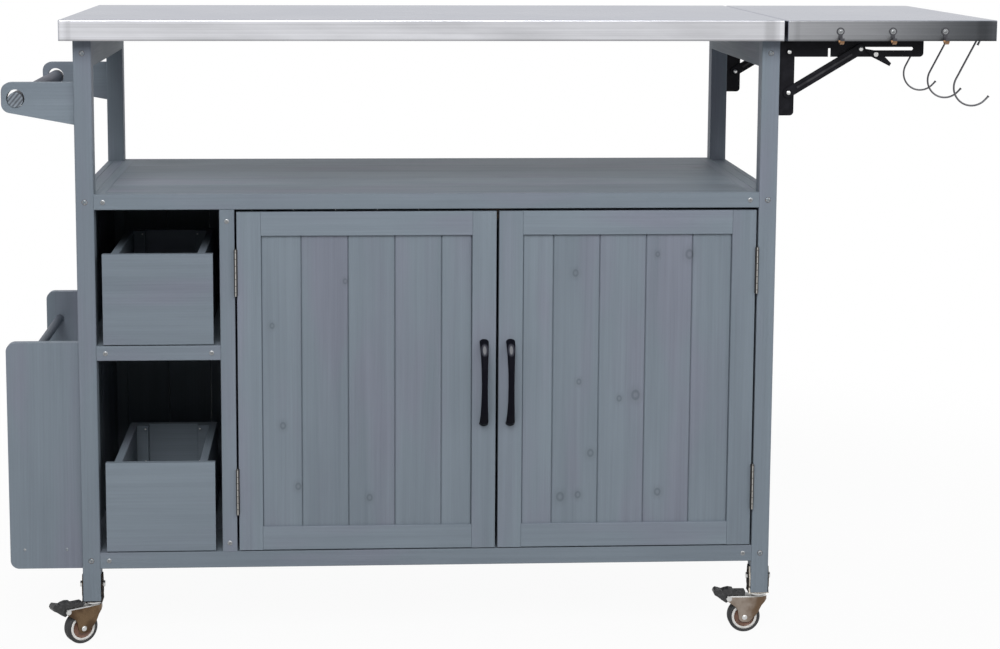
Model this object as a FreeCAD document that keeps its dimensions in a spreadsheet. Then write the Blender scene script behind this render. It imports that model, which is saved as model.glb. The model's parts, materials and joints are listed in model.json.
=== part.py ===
"""Grill cart with storage: a timber cabinet on four braked castors under a steel worktop.

The frame is centred on X and Y between its four legs, and the doors face -Y. A leaf on two folding
brackets carries the worktop on past the right-hand legs. All sizes are in millimetres.
"""
import FreeCAD, Part
import Sketcher
import math
import os
import re

doc = FreeCAD.newDocument("grill_cart")

# Driving sizes. The first group sets the frame, and each later group one sub-assembly.
SIZES = {
    "frame_length": 1060, "frame_depth": 460, "leg_width": 27, "leg_foot": 65.4,
    "top_height": 958, "sheet": 1, "lip_height": 31, "core_thickness": 27, "corner_radius": 3,
    "edge_radius": 1.6, "overhang_left": 17.5, "overhang_right": 1.6, "overhang_side": 26,
    "leaf_gap": 4, "leaf_length": 318,
    "rail_thickness": 18, "top_rail_height": 44,
    "shelf_height": 695.3, "shelf_rail_height": 23.3, "board_thickness": 12, "end_batten": 16,
    "base_height": 141.5, "base_rail_height": 25,
    "panel_thickness": 9, "board_joint": 0.4, "groove": 1.4, "arris": 0.8, "board_ease": 0.5,
    "cubby_width": 187, "post_width": 22.5, "divider_thickness": 12,
    "cubby_height": 463.8, "cubby_rail_height": 22.5,
    "door_side_gap": 3.2, "door_meeting_gap": 4, "door_top_gap": 4, "door_bottom_gap": 1.8,
    "door_thickness": 20, "door_stile": 36.6, "door_board_thickness": 9, "door_board_inset": 4,
    "door_board_width": 71, "door_first_board": 60.4,
    "hinge_length": 71, "hinge_inset": 57, "hinge_radius": 2.5, "hinge_pin_radius": 1.3,
    "hinge_leaf": 1.2, "hinge_leaf_depth": 20, "hinge_standoff": 2.8, "running_clearance": 0.05,
    "pull_length": 136, "pull_rise": 24, "pull_width": 14, "pull_waist": 9.2, "pull_thickness": 6,
    "pull_drop": 2.5,
    "catch_length": 46, "catch_depth": 14, "catch_height": 12, "strike_size": 18,
    "strike_thickness": 1.5, "catch_gap": 0.5, "catch_inset": 8,
    "bin_side_gap": 10.5, "bin_height": 139, "bin_wood": 12, "bin_depth": 258, "bin_side_inset": 12,
    "bin_base": 6, "bin_cleat": 19, "bin_foot_gap": 0.3, "bin_front_gap": 1.4, "bin_setback": 1,
    "bracket_board": 15, "towel_reach": 108, "towel_drop": 94.6, "towel_root": 63.6,
    "towel_nose": 43.5, "towel_corner": 14, "towel_hole_radius": 13.5, "towel_hole_back": 21.4,
    "towel_hole_drop": 23.9, "towel_rod_radius": 11.4, "towel_rod_proud": 1.5, "towel_rod_rest": 0.2,
    "rack_reach": 110, "rack_top": 468.5, "rack_bottom": 116.4, "rack_corner": 13,
    "rack_rod_radius": 7, "rack_rod_drop": 46.7, "rack_rod_back": 22, "rack_rod_socket": 6,
    "rack_base_drop": 31, "rack_base_width": 92, "rack_base_inset": 9,
    "wall_plate_steel": 2, "wall_plate_reach": 24, "wall_plate_depth": 19, "wall_plate_height": 110,
    "wall_plate_drop": 36, "wall_plate_corner": 6, "bracket_offset": 5.5, "layer_gap": 0.3,
    "pivot_reach": 15, "pivot_drop": 49, "strut_drop": 62, "strut_pin_reach": 109, "strut_pin_rise": 4,
    "arm_tail": 9, "arm_length": 207, "arm_flange": 20, "arm_below": 8, "arm_corner": 6,
    "slot_start": 108, "slot_end": 188.5, "slot_height": 5, "slot_rise": 4.4,
    "notch_reach": 60.5, "notch_width": 4, "notch_depth": 13, "strut_thickness": 3, "strut_width": 15,
    "strut_rib": 1.2, "strut_rib_width": 3,
    "lever_reach": 133.7, "lever_drop": 4.4, "lever_thickness": 2, "lever_tail": 18, "lever_blade": 23.5,
    "rivet_radius": 3, "rivet_head": 4.2, "rivet_crown": 1.2,
    "plate_head_radius": 5.9, "plate_neck": 6, "plate_steel": 1.2, "plate_trough": 6,
    "plate_head_drop": 16.5, "plate_trough_drop": 28.3, "plate_tip": 2.2, "hook_pitch": 147,
    "hook_wire": 3, "hook_loop": 8, "hook_tail": 5, "hook_lean": 27, "hook_shank": 65, "hook_bend": 29,
    "hook_sweep": 187,
    "wheel_radius": 25, "wheel_width": 17, "tread_bevel": 2.5, "hub_radius": 19.7, "hub_width": 18.4,
    "hub_dish_radius": 16, "hub_dish": 2, "hub_boss_radius": 6.6, "axle_radius": 3,
    "castor_trail": 21.5, "fork_gap": 19, "fork_steel": 1.8, "fork_top": 58.6, "fork_nose": 14.2,
    "fork_foot_radius": 7.5, "fork_lug_radius": 4.8, "fork_edge": 1.5, "fork_roof": 34.5,
    "pedal_pivot_back": 46.2, "pedal_pivot_height": 55, "pedal_width": 15, "pedal_tail": 24.2,
    "pedal_arm": 25.8, "pedal_hump": 14.6, "pedal_plate": 6.6, "kingpin_radius": 4, "kingpin_head": 6,
    "race_radius": 14.3, "race_thickness": 2.2, "race_neck_radius": 9,
    "clamp_steel": 2, "clamp_height": 42, "clamp_depth": 24, "clamp_foot": 24, "clamp_waist": 17,
    "clamp_top": 14,
    "clamp_bolt_drop": 16.2, "clamp_bolt_radius": 2.5, "bolt_head_radius": 4.9, "bolt_head_height": 3.5,
    "turn_front_left": 32, "turn_front_right": 0, "turn_rear_left": -24, "turn_rear_right": 12,
    "screw_head_radius": 3.6, "screw_head_height": 0.8, "screw_drop": 51,
}
SHELF_BOARDS = 5
FLOOR_BOARDS = 4
SIDE_PANEL_BOARDS = 6
BACK_PANEL_BOARDS = 14
DOOR_BOARDS = 5
PULL_SECTIONS = 9
HOOK_LOOP_STEPS = 6
HOOK_BEND_STEPS = 12
TROUGH_STEPS = 6
WIRE_SIDES = 8
SCREW_SIDES = 12
WHEEL_SIDES = 36
RACE_SIDES = 24

sheet = doc.addObject("Spreadsheet::Sheet", "Sizes")
for row, (name, number) in enumerate(SIZES.items(), start=1):
    sheet.set(f"A{row}", name)
    sheet.set(f"B{row}", str(number))
    sheet.setAlias(f"B{row}", name)
doc.recompute()

# Places that several sub-parts share, written with the names of the sheet.
LEG_LEFT = "(0 - frame_length / 2)"
LEG_RIGHT = "(frame_length / 2)"
INNER_LEFT = "(leg_width - frame_length / 2)"
INNER_RIGHT = "(frame_length / 2 - leg_width)"
FRONT = "(0 - frame_depth / 2)"
BACK = "(frame_depth / 2)"
INNER_FRONT = "(leg_width - frame_depth / 2)"
INNER_BACK = "(frame_depth / 2 - leg_width)"
RAIL_FRONT = "(rail_thickness - frame_depth / 2)"
RAIL_BACK = "(frame_depth / 2 - rail_thickness)"
CORE_UNDERSIDE = "(top_height - sheet - core_thickness)"
SHELF_UNDERSIDE = "(shelf_height - board_thickness)"
SHELF_RAIL_UNDERSIDE = "(shelf_height - shelf_rail_height)"
FLOOR_UNDERSIDE = "(base_height - board_thickness)"
BASE_UNDERSIDE = "(base_height - base_rail_height)"
POST_LEFT = f"({INNER_LEFT} + cubby_width)"
POST_RIGHT = f"({INNER_LEFT} + cubby_width + post_width)"
DIVIDER_LEFT = f"({POST_LEFT} + (post_width - divider_thickness) / 2)"
DOOR_WIDTH = f"(({INNER_RIGHT} - {POST_RIGHT} - 2 * door_side_gap - door_meeting_gap) / 2)"
LEFT_DOOR_EDGE = f"({POST_RIGHT} + door_side_gap)"
RIGHT_DOOR_EDGE = f"({INNER_RIGHT} - door_side_gap)"
DOOR_BOTTOM = "(base_height + door_bottom_gap)"
DOOR_HEIGHT = f"({SHELF_RAIL_UNDERSIDE} - door_top_gap - {DOOR_BOTTOM})"
LEAF_LEFT = f"({LEG_RIGHT} + overhang_right + leaf_gap)"
LEAF_RIGHT = f"({LEAF_LEFT} + leaf_length)"
TOP_FRONT = f"({FRONT} - overhang_side)"
TOP_BACK = f"({BACK} + overhang_side)"
LEG_MIDDLE_FRONT = f"({FRONT} + leg_width / 2)"
LEG_MIDDLE_BACK = f"({BACK} - leg_width / 2)"
PIVOT_X = f"({LEG_RIGHT} + pivot_reach)"
PIVOT_Z = "(top_height - pivot_drop)"
TOWEL_TOP = "(top_height - towel_drop)"
BOLT_HEIGHT = "(leg_foot - clamp_steel + clamp_height - clamp_bolt_drop)"
TROUGH_OUT = "(plate_steel + plate_trough)"
TROUGH_Z = "(top_height - plate_trough_drop)"
HOOK_INNER = "(hook_loop - hook_wire / 2)"
HOOK_RISE = (f"(plate_trough - hook_wire / 2 - layer_gap"
             f" - ({HOOK_INNER} - sqrt({HOOK_INNER} ^ 2 - (plate_neck / 2) ^ 2)))")

# The origin is on the floor under the middle of the cart's overall length and depth.
LEFT_REACH = f"({LEG_LEFT} - rack_reach)"
HOOK_TIP = ("(hook_bend * cos(hook_lean * 1 deg) - hook_bend * cos((hook_sweep - hook_lean) * 1 deg)"
            " - (hook_loop + hook_shank) * sin(hook_lean * 1 deg) + hook_wire / 2)")
RIGHT_REACH = f"({LEAF_RIGHT} + {TROUGH_OUT} + {HOOK_TIP})"
ORIGIN_X = f"(({LEFT_REACH} + {RIGHT_REACH}) / 2)"
ORIGIN_Y = f"(0 - ({TROUGH_OUT} + plate_trough + plate_steel) / 2)"


def bound(formula):
    """A formula in the sheet's names, as an expression that FreeCAD can read."""
    return re.sub(r"\b[a-z][a-z_]*\b", lambda word: f"Sizes.{word[0]}" if word[0] in SIZES else word[0],
                  str(formula))


CART = (ORIGIN_X, ORIGIN_Y)
LOCAL = ("0", "0")
QUARTER_TURNS = {
    "x": FreeCAD.Rotation(FreeCAD.Vector(0, 1, 0), 90),
    "y": FreeCAD.Rotation(FreeCAD.Vector(1, 0, 0), -90),
    "z": FreeCAD.Rotation(),
}
nodes = []


def node(piece):
    """Counts a finished piece among the sub-parts that are written out."""
    nodes.append(piece)
    return piece


def seat(piece, place, origin=CART):
    """Ties a piece's own origin to a place in the cart's frame, or in a castor's."""
    x, y, z = place
    piece.setExpression("Placement.Base.x", bound(f"{x} - {origin[0]}"))
    piece.setExpression("Placement.Base.y", bound(f"{y} - {origin[1]}"))
    piece.setExpression("Placement.Base.z", bound(z))
    return piece


def box(name, x, y, z, origin=CART):
    """A plain box between a low and a high formula along each axis."""
    piece = doc.addObject("Part::Box", name)
    for side, (low, high) in zip(("Length", "Width", "Height"), (x, y, z)):
        piece.setExpression(side, bound(f"({high}) - ({low})"))
    return seat(piece, (x[0], y[0], z[0]), origin)


def rod(name, place, radius, length, along="z", origin=CART):
    """A round bar that starts at a place and runs along one axis."""
    piece = doc.addObject("Part::Cylinder", name)
    piece.Placement = FreeCAD.Placement(FreeCAD.Vector(), QUARTER_TURNS[along])
    piece.setExpression("Radius", bound(radius))
    piece.setExpression("Height", bound(length))
    return seat(piece, place, origin)


def turn_about(piece, axis, turn):
    """Turns a shape about an axis through its own origin, by degrees or by a formula."""
    piece.Placement = FreeCAD.Placement(FreeCAD.Vector(), FreeCAD.Rotation(FreeCAD.Vector(*axis), 1))
    piece.setExpression("Placement.Rotation.Angle", bound(turn))


def bar(name, place, radius, length, sides, along="z", origin=LOCAL):
    """A bar of regular section: a hexagon head, or a small round piece with few faces."""
    piece = doc.addObject("Part::Prism", name)
    piece.Placement = FreeCAD.Placement(FreeCAD.Vector(), QUARTER_TURNS[along])
    piece.Polygon = sides
    piece.setExpression("Circumradius", bound(radius))
    piece.setExpression("Height", bound(length))
    return seat(piece, place, origin)


def ring_of_sides(name, place, radius, sides, axis, turn):
    """A regular outline to loft through, turned about an axis by a formula in degrees."""
    section = doc.addObject("Part::RegularPolygon", name)
    section.Polygon = sides
    section.setExpression("Circumradius", bound(radius))
    turn_about(section, axis, turn)
    return seat(section, place, LOCAL)


def lofted(name, sections):
    """A solid with straight faces from each section to the next."""
    piece = doc.addObject("Part::Loft", name)
    piece.Sections = sections
    piece.Solid = True
    piece.Ruled = True
    return piece


def fuse(name, pieces):
    """Several shapes made into one."""
    piece = doc.addObject("Part::MultiFuse", name)
    piece.Shapes = pieces
    piece.Refine = True
    return piece


def cut(name, base, tools):
    """A shape with one or more others taken out of it."""
    piece = doc.addObject("Part::Cut", name)
    piece.Base = base
    piece.Tool = tools[0] if len(tools) == 1 else fuse(f"{name}_cutters", tools)
    return piece


def overlap(name, base, tool):
    """What two shapes have in common."""
    piece = doc.addObject("Part::Common", name)
    piece.Base = base
    piece.Tool = tool
    return piece


def group(name, pieces):
    """Separate solids of one kind that share a sub-part."""
    piece = doc.addObject("Part::Compound", name)
    piece.Links = pieces
    return piece


def origin_plane(body, role):
    """One of the three base planes of a body."""
    return next(plane for plane in body.Origin.OriginFeatures if plane.Role == role)


def outline(body, plane, corners):
    """A closed sketch of straight edges, with each corner tied to its two formulas."""
    sketch = body.newObject("Sketcher::SketchObject", f"{body.Name}_outline")
    sketch.AttachmentSupport = [(origin_plane(body, plane), "")]
    sketch.MapMode = "FlatFace"
    count = len(corners)
    ring = [FreeCAD.Vector(math.cos(math.tau * i / count), math.sin(math.tau * i / count), 0)
            for i in range(count)]
    sketch.addGeometry([Part.LineSegment(ring[i], ring[(i + 1) % count]) for i in range(count)], False)
    ties = [Sketcher.Constraint("Coincident", i, 2, (i + 1) % count, 1) for i in range(count)]
    for i, point in enumerate(ring):
        ties.append(Sketcher.Constraint("DistanceX", -1, 1, i, 1, point.x))
        ties.append(Sketcher.Constraint("DistanceY", -1, 1, i, 1, point.y))
    sketch.addConstraint(ties)
    for i, (across, up) in enumerate(corners):
        sketch.setExpression(f"Constraints[{count + 2 * i}]", bound(across))
        sketch.setExpression(f"Constraints[{count + 2 * i + 1}]", bound(up))
    return sketch


def prism(name, plane, corners, length, place, origin=CART):
    """A body padded from a straight-edged outline: toward +Z, +Y or +X for the three planes."""
    body = doc.addObject("PartDesign::Body", name)
    sketch = outline(body, plane, corners)
    pad = body.newObject("PartDesign::Pad", f"{name}_pad")
    pad.Profile = sketch
    pad.setExpression("Length", bound(length))
    pad.Reversed = plane == "XZ_Plane"
    seat(body, place, origin)
    return body


def timber(name, x, y, z, along, ease="arris"):
    """A sawn length of wood whose four long edges are eased."""
    spans = {"x": x, "y": y, "z": z}
    low, high = spans.pop(along)
    (across_low, across_high), (up_low, up_high) = spans.values()
    width = f"(({across_high}) - ({across_low}))"
    height = f"(({up_high}) - ({up_low}))"
    corners = [(ease, 0), (f"{width} - {ease}", 0), (width, ease), (width, f"{height} - {ease}"),
               (f"{width} - {ease}", height), (ease, height), (0, f"{height} - {ease}"), (0, ease)]
    plane = {"x": "YZ_Plane", "y": "XZ_Plane", "z": "XY_Plane"}[along]
    return prism(name, plane, corners, f"({high}) - ({low})", (x[0], y[0], z[0]))


def round_corners(body, numbers, radius):
    """Rounds the edges that the numbered corners of the body's outline sweep."""
    doc.recompute()
    sketch = body.Group[0]
    to_body = sketch.Placement
    spots = [to_body.multVec(sketch.Geometry[i].StartPoint) for i in numbers]
    normal = to_body.Rotation.multVec(FreeCAD.Vector(0, 0, 1))
    tip = body.Tip
    edges = []
    for i, edge in enumerate(tip.Shape.Edges, start=1):
        if len(edge.Vertexes) != 2:
            continue
        first, last = (vertex.Point for vertex in edge.Vertexes)
        upright = (last - first).cross(normal).Length < 1e-6
        if upright and any((first - spot).cross(normal).Length < 1e-6 for spot in spots):
            edges.append(f"Edge{i}")
    fillet = body.newObject("PartDesign::Fillet", f"{body.Name}_round")
    fillet.Base = (tip, edges)
    fillet.setExpression("Radius", bound(radius))
    body.Tip = fillet
    return body


def ease_rim(body, kind, size_name, size):
    """Rounds or bevels the rim of an upright body's top."""
    doc.recompute()
    block = body.Tip
    height = max(vertex.Z for vertex in block.Shape.Vertexes)
    rim = [f"Edge{i}" for i, edge in enumerate(block.Shape.Edges, start=1)
           if abs(edge.CenterOfMass.z - height) < 1e-4]
    easing = body.newObject(kind, f"{body.Name}_rim")
    easing.Base = (block, rim)
    easing.setExpression(size_name, bound(size))
    body.Tip = easing
    return body


def strips(low, high, count, number, joint="board_joint"):
    """The span of one of several equal boards laid side by side with open joints."""
    pitch = f"((({high}) - ({low}) + {joint}) / {count})"
    return f"({low} + {number} * {pitch})", f"({low} + {number + 1} * {pitch} - {joint})"


def pan(name, x):
    """A steel sheet folded down on all four sides over a board, open underneath."""
    width, depth = f"(({x[1]}) - ({x[0]}))", f"({TOP_BACK} - {TOP_FRONT})"
    body = prism(name, "XY_Plane", [(0, 0), (width, 0), (width, depth), (0, depth)], "lip_height",
                 (x[0], TOP_FRONT, "top_height - lip_height"))
    round_corners(body, range(4), "corner_radius")
    ease_rim(body, "PartDesign::Fillet", "Radius", "edge_radius")
    inner = prism(f"{name}_hollow", "XY_Plane",
                  [(0, 0), (f"{width} - 2 * sheet", 0), (f"{width} - 2 * sheet", f"{depth} - 2 * sheet"),
                   (0, f"{depth} - 2 * sheet")], "lip_height - sheet",
                  (f"{x[0]} + sheet", f"{TOP_FRONT} + sheet", "top_height - lip_height"))
    return cut(f"{name}_pan", body, [inner])


def build_worktop():
    """The fixed worktop: a brushed steel pan over a board that the legs carry."""
    x = (f"{LEG_LEFT} - overhang_left", f"{LEG_RIGHT} + overhang_right")
    skin = pan("worktop", x)
    skin.Label = "worktop_skin"
    node(skin)
    node(box("worktop_core", (f"{x[0]} + sheet", f"{x[1]} - sheet"),
             (f"{TOP_FRONT} + sheet", f"{TOP_BACK} - sheet"), (CORE_UNDERSIDE, "top_height - sheet")))


def build_legs():
    """Four square legs, each drilled across its foot for the castor's bolt."""
    places = {
        "leg_front_left": (LEG_LEFT, FRONT), "leg_front_right": (INNER_RIGHT, FRONT),
        "leg_rear_left": (LEG_LEFT, INNER_BACK), "leg_rear_right": (INNER_RIGHT, INNER_BACK),
    }
    for name, (x, y) in places.items():
        post = timber(f"{name}_post", (x, f"{x} + leg_width"), (y, f"{y} + leg_width"),
                      ("leg_foot", CORE_UNDERSIDE), "z")
        hole = rod(f"{name}_bolt_hole", (x, f"{y} + leg_width / 2", BOLT_HEIGHT),
                   "clamp_bolt_radius + running_clearance", "leg_width", "x")
        node(cut(name, post, [hole]))


def build_rails():
    """The rails between the legs: two under the worktop, four round the shelf, four round the floor."""
    left = (f"{INNER_LEFT} - rail_thickness", INNER_LEFT)
    right = (INNER_RIGHT, f"{INNER_RIGHT} + rail_thickness")
    long_way = (INNER_LEFT, INNER_RIGHT)
    deep_way = (INNER_FRONT, INNER_BACK)
    top = (f"{CORE_UNDERSIDE} - top_rail_height", CORE_UNDERSIDE)
    node(group("top_side_rails", [timber("top_rail_left", left, deep_way, top, "y"),
                                  timber("top_rail_right", right, deep_way, top, "y")]))
    levels = {"shelf": (SHELF_RAIL_UNDERSIDE, "shelf_height"), "base": (BASE_UNDERSIDE, "base_height")}
    for level, z in levels.items():
        node(group(f"{level}_rails", [
            timber(f"{level}_rail_front", long_way, (FRONT, RAIL_FRONT), z, "x"),
            timber(f"{level}_rail_back", long_way, (RAIL_BACK, BACK), z, "x"),
            timber(f"{level}_rail_left", left, deep_way, z, "y"),
            timber(f"{level}_rail_right", right, deep_way, z, "y"),
        ]))


def build_decks():
    """The open shelf, with a batten across each end, and the cabinet floor."""
    z = (SHELF_UNDERSIDE, "shelf_height")
    boards = [timber("shelf_batten_left", (INNER_LEFT, f"{INNER_LEFT} + end_batten"),
                     (RAIL_FRONT, RAIL_BACK), z, "y", "board_ease"),
              timber("shelf_batten_right", (f"{INNER_RIGHT} - end_batten", INNER_RIGHT),
                     (RAIL_FRONT, RAIL_BACK), z, "y", "board_ease")]
    x = (f"{INNER_LEFT} + end_batten + board_joint", f"{INNER_RIGHT} - end_batten - board_joint")
    for i in range(SHELF_BOARDS):
        boards.append(timber(f"shelf_board_{i}", x, strips(RAIL_FRONT, RAIL_BACK, SHELF_BOARDS, i), z, "x",
                             "board_ease"))
    node(group("shelf_boards", boards))
    node(group("floor_boards", [
        timber(f"floor_board_{i}", (INNER_LEFT, INNER_RIGHT),
               strips(RAIL_FRONT, INNER_BACK, FLOOR_BOARDS, i), (FLOOR_UNDERSIDE, "base_height"), "x",
               "board_ease")
        for i in range(FLOOR_BOARDS)]))


def build_walls():
    """The matched boards of the two ends and the back, the divider and its front post."""
    z = (BASE_UNDERSIDE, "shelf_height")
    ends = {"left": (LEG_LEFT, f"{LEG_LEFT} + panel_thickness"),
            "right": (f"{LEG_RIGHT} - panel_thickness", LEG_RIGHT)}
    for side, x in ends.items():
        node(group(f"side_panel_{side}", [
            timber(f"side_board_{side}_{i}", x, strips(INNER_FRONT, INNER_BACK, SIDE_PANEL_BOARDS, i), z,
                   "z", "groove")
            for i in range(SIDE_PANEL_BOARDS)]))
    node(group("back_panel", [
        timber(f"back_board_{i}", strips(INNER_LEFT, INNER_RIGHT, BACK_PANEL_BOARDS, i),
               (INNER_BACK, f"{INNER_BACK} + panel_thickness"), (BASE_UNDERSIDE, SHELF_UNDERSIDE), "z",
               "groove")
        for i in range(BACK_PANEL_BOARDS)]))
    node(timber("divider_post", (POST_LEFT, POST_RIGHT), (FRONT, RAIL_FRONT),
                ("base_height", SHELF_RAIL_UNDERSIDE), "z"))
    node(timber("divider_panel", (DIVIDER_LEFT, f"{DIVIDER_LEFT} + divider_thickness"),
                (RAIL_FRONT, INNER_BACK), ("base_height", SHELF_UNDERSIDE), "z", "board_ease"))


def build_cubby_shelf():
    """The fixed shelf between the two bins: a rail in front and a board behind it."""
    rail = timber("cubby_rail", (INNER_LEFT, POST_LEFT), (FRONT, RAIL_FRONT),
                  ("cubby_height - cubby_rail_height", "cubby_height"), "x")
    board = timber("cubby_board", (f"{LEG_LEFT} + panel_thickness", DIVIDER_LEFT),
                   (INNER_FRONT, INNER_BACK),
                   ("cubby_height - board_thickness", "cubby_height"), "x", "board_ease")
    filler = timber("cubby_lip", (INNER_LEFT, DIVIDER_LEFT), (RAIL_FRONT, INNER_FRONT),
                    ("cubby_height - board_thickness", "cubby_height"), "x", "board_ease")
    node(group("cubby_shelf", [rail, board, filler]))


def from_edge(edge, side, near, far):
    """The span between two distances from a hinge edge, toward +X or -X."""
    if side > 0:
        return f"({edge} + {near})", f"({edge} + {far})"
    return f"({edge} - ({far}))", f"({edge} - ({near}))"


def build_door(name, edge, side):
    """One framed door: stiles, rails, matched boards set back in them, hinge leaves and a pull."""
    y = (FRONT, f"{FRONT} + door_thickness")
    z = (DOOR_BOTTOM, f"{DOOR_BOTTOM} + {DOOR_HEIGHT}")
    middle_z = (f"{z[0]} + door_stile", f"{z[1]} - door_stile")
    opening = ("door_stile", f"{DOOR_WIDTH} - door_stile")
    leaf_cuts = [box(f"{name}_leaf_recess_{i}", from_edge(edge, side, "0", "hinge_leaf"),
                     (FRONT, f"{FRONT} + hinge_leaf_depth"), hinge_span(i))
                 for i in range(2)]
    hinge_stile = timber(f"{name}_stile_bar", from_edge(edge, side, "0", "door_stile"), y, z, "z")
    node(group(f"{name}_frame", [
        cut(f"{name}_stile_hinge", hinge_stile, leaf_cuts),
        timber(f"{name}_stile_meeting", from_edge(edge, side, opening[1], DOOR_WIDTH), y, z, "z"),
        timber(f"{name}_rail_bottom", from_edge(edge, side, *opening), y, (z[0], middle_z[0]), "x"),
        timber(f"{name}_rail_top", from_edge(edge, side, *opening), y, (middle_z[1], z[1]), "x"),
    ]))
    starts = ["door_stile"] + [f"(door_stile + door_first_board + {i} * door_board_width)"
                               for i in range(DOOR_BOARDS - 1)] + [opening[1]]
    node(group(f"{name}_boards", [
        timber(f"{name}_board_{i}", from_edge(edge, side, starts[i], f"{starts[i + 1]} - board_joint"),
               (f"{FRONT} + door_board_inset", f"{FRONT} + door_board_inset + door_board_thickness"),
               middle_z, "z", "groove")
        for i in range(DOOR_BOARDS)]))
    node(group(f"{name}_fittings", [door_leaf(f"{name}_leaf_{i}", edge, side, i) for i in range(2)]
               + [box(f"{name}_strike", from_edge(edge, side, f"{DOOR_WIDTH} - strike_size - catch_inset",
                                                  f"{DOOR_WIDTH} - catch_inset"),
                      (f"{y[1]}", f"{y[1]} + strike_thickness"),
                      (f"{z[1]} - strike_size", z[1]))]))
    pull_x = f"({edge} + {side} * ({DOOR_WIDTH} - door_stile / 2))"
    node(pull(f"{name}_pull", pull_x, f"(({z[0]} + {z[1]}) / 2 - pull_drop)"))


def hinge_span(number):
    """The height of a door's lower or upper hinge."""
    if number == 0:
        return f"({DOOR_BOTTOM} + hinge_inset)", f"({DOOR_BOTTOM} + hinge_inset + hinge_length)"
    return (f"({DOOR_BOTTOM} + {DOOR_HEIGHT} - hinge_inset - hinge_length)",
            f"({DOOR_BOTTOM} + {DOOR_HEIGHT} - hinge_inset)")


def knuckle(name, edge, side, low, high, bore):
    """A hinge knuckle on the vertical pin in front of the gap beside a door."""
    place = (f"{edge} - {side} * door_side_gap / 2", f"{FRONT} - hinge_standoff", low)
    barrel = rod(f"{name}_barrel", place, "hinge_radius", f"{high} - {low}")
    return cut(name, barrel, [rod(f"{name}_bore", place, bore, f"{high} - {low}")])


def door_leaf(name, edge, side, number):
    """The moving half of a butt hinge: a leaf let into the door's edge and the middle knuckle."""
    low, high = hinge_span(number)
    third = "hinge_length / 3"
    between_ends = (f"({low} + {third} + layer_gap)", f"({high} - {third} - layer_gap)")
    bore = "hinge_pin_radius + running_clearance"
    leaf = box(f"{name}_plate", from_edge(edge, side, "0", "hinge_leaf"),
               (FRONT, f"{FRONT} + hinge_leaf_depth"), (low, high))
    neck = box(f"{name}_neck", from_edge(edge, side, f"{bore} - door_side_gap / 2", "hinge_leaf"),
               (f"{FRONT} - hinge_standoff", FRONT), between_ends)
    middle = knuckle(f"{name}_knuckle", edge, side, *between_ends, bore)
    return fuse(name, [leaf, neck, middle])


def frame_leaf(name, edge, side, number):
    """The fixed half of a butt hinge: a leaf on the frame, two knuckles and the pin."""
    low, high = hinge_span(number)
    third = "hinge_length / 3"
    pin_foot = (f"{edge} - {side} * door_side_gap / 2", f"{FRONT} - hinge_standoff", low)
    whole = box(f"{name}_plate", from_edge(edge, side, "0 - door_side_gap", "hinge_leaf - door_side_gap"),
                (f"{FRONT} - hinge_standoff", f"{FRONT} + hinge_leaf_depth"), (low, high))
    middle = box(f"{name}_relief", from_edge(edge, side, "0 - door_side_gap", "0"),
                 (f"{FRONT} - hinge_standoff", FRONT), (f"{low} + {third}", f"{high} - {third}"))
    pin_way = rod(f"{name}_pin_way", pin_foot, "hinge_pin_radius", "hinge_length")
    plate = cut(f"{name}_trimmed", whole, [middle, pin_way])
    ends = [knuckle(f"{name}_knuckle_low", edge, side, low, f"({low} + {third})", "hinge_pin_radius"),
            knuckle(f"{name}_knuckle_high", edge, side, f"({high} - {third})", high, "hinge_pin_radius")]
    pin = rod(f"{name}_pin", pin_foot, "hinge_pin_radius", "hinge_length")
    return fuse(name, [plate, *ends, pin])


def pull(name, x, middle):
    """A bow handle lofted through ellipses that widen toward its two feet."""
    reach = "((pull_length - pull_thickness * 3 / 2) / 2)"
    sections = []
    for i in range(PULL_SECTIONS):
        turn = f"(({i} / {PULL_SECTIONS - 1} - 0.5) * 180 deg)"
        spread = f"(sin({turn}) ^ 2)"
        section = doc.addObject("Part::Ellipse", f"{name}_section_{i}")
        turn_about(section, (1, 0, 0), f"-1 * atan2(pull_rise * sin({turn}); {reach} * cos({turn}))")
        section.setExpression("MajorRadius",
                              bound(f"(pull_waist + (pull_width - pull_waist) * {spread}) / 2"))
        section.setExpression("MinorRadius", bound(f"pull_thickness * (1 + {spread} / 2) / 2"))
        seat(section, (x, f"{FRONT} - pull_rise * cos({turn})", f"{middle} + {reach} * sin({turn})"))
        sections.append(section)
    return lofted(name, sections)


def build_door_hardware():
    """The frame's halves of the four hinges, and a double magnetic catch over the doors."""
    hinge_edges = {"left": (LEFT_DOOR_EDGE, 1), "right": (RIGHT_DOOR_EDGE, -1)}
    node(group("frame_hinge_leaves", [
        frame_leaf(f"frame_leaf_{side}_{i}", edge, sign, i)
        for side, (edge, sign) in hinge_edges.items() for i in range(2)]))
    middle = f"({POST_RIGHT} + {INNER_RIGHT}) / 2"
    behind = f"({FRONT} + door_thickness + strike_thickness + catch_gap)"
    node(box("door_catch", (f"{middle} - catch_length / 2", f"{middle} + catch_length / 2"),
             (behind, f"{behind} + catch_depth"),
             (f"{SHELF_UNDERSIDE} - catch_height - strike_size", SHELF_UNDERSIDE)))


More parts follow.
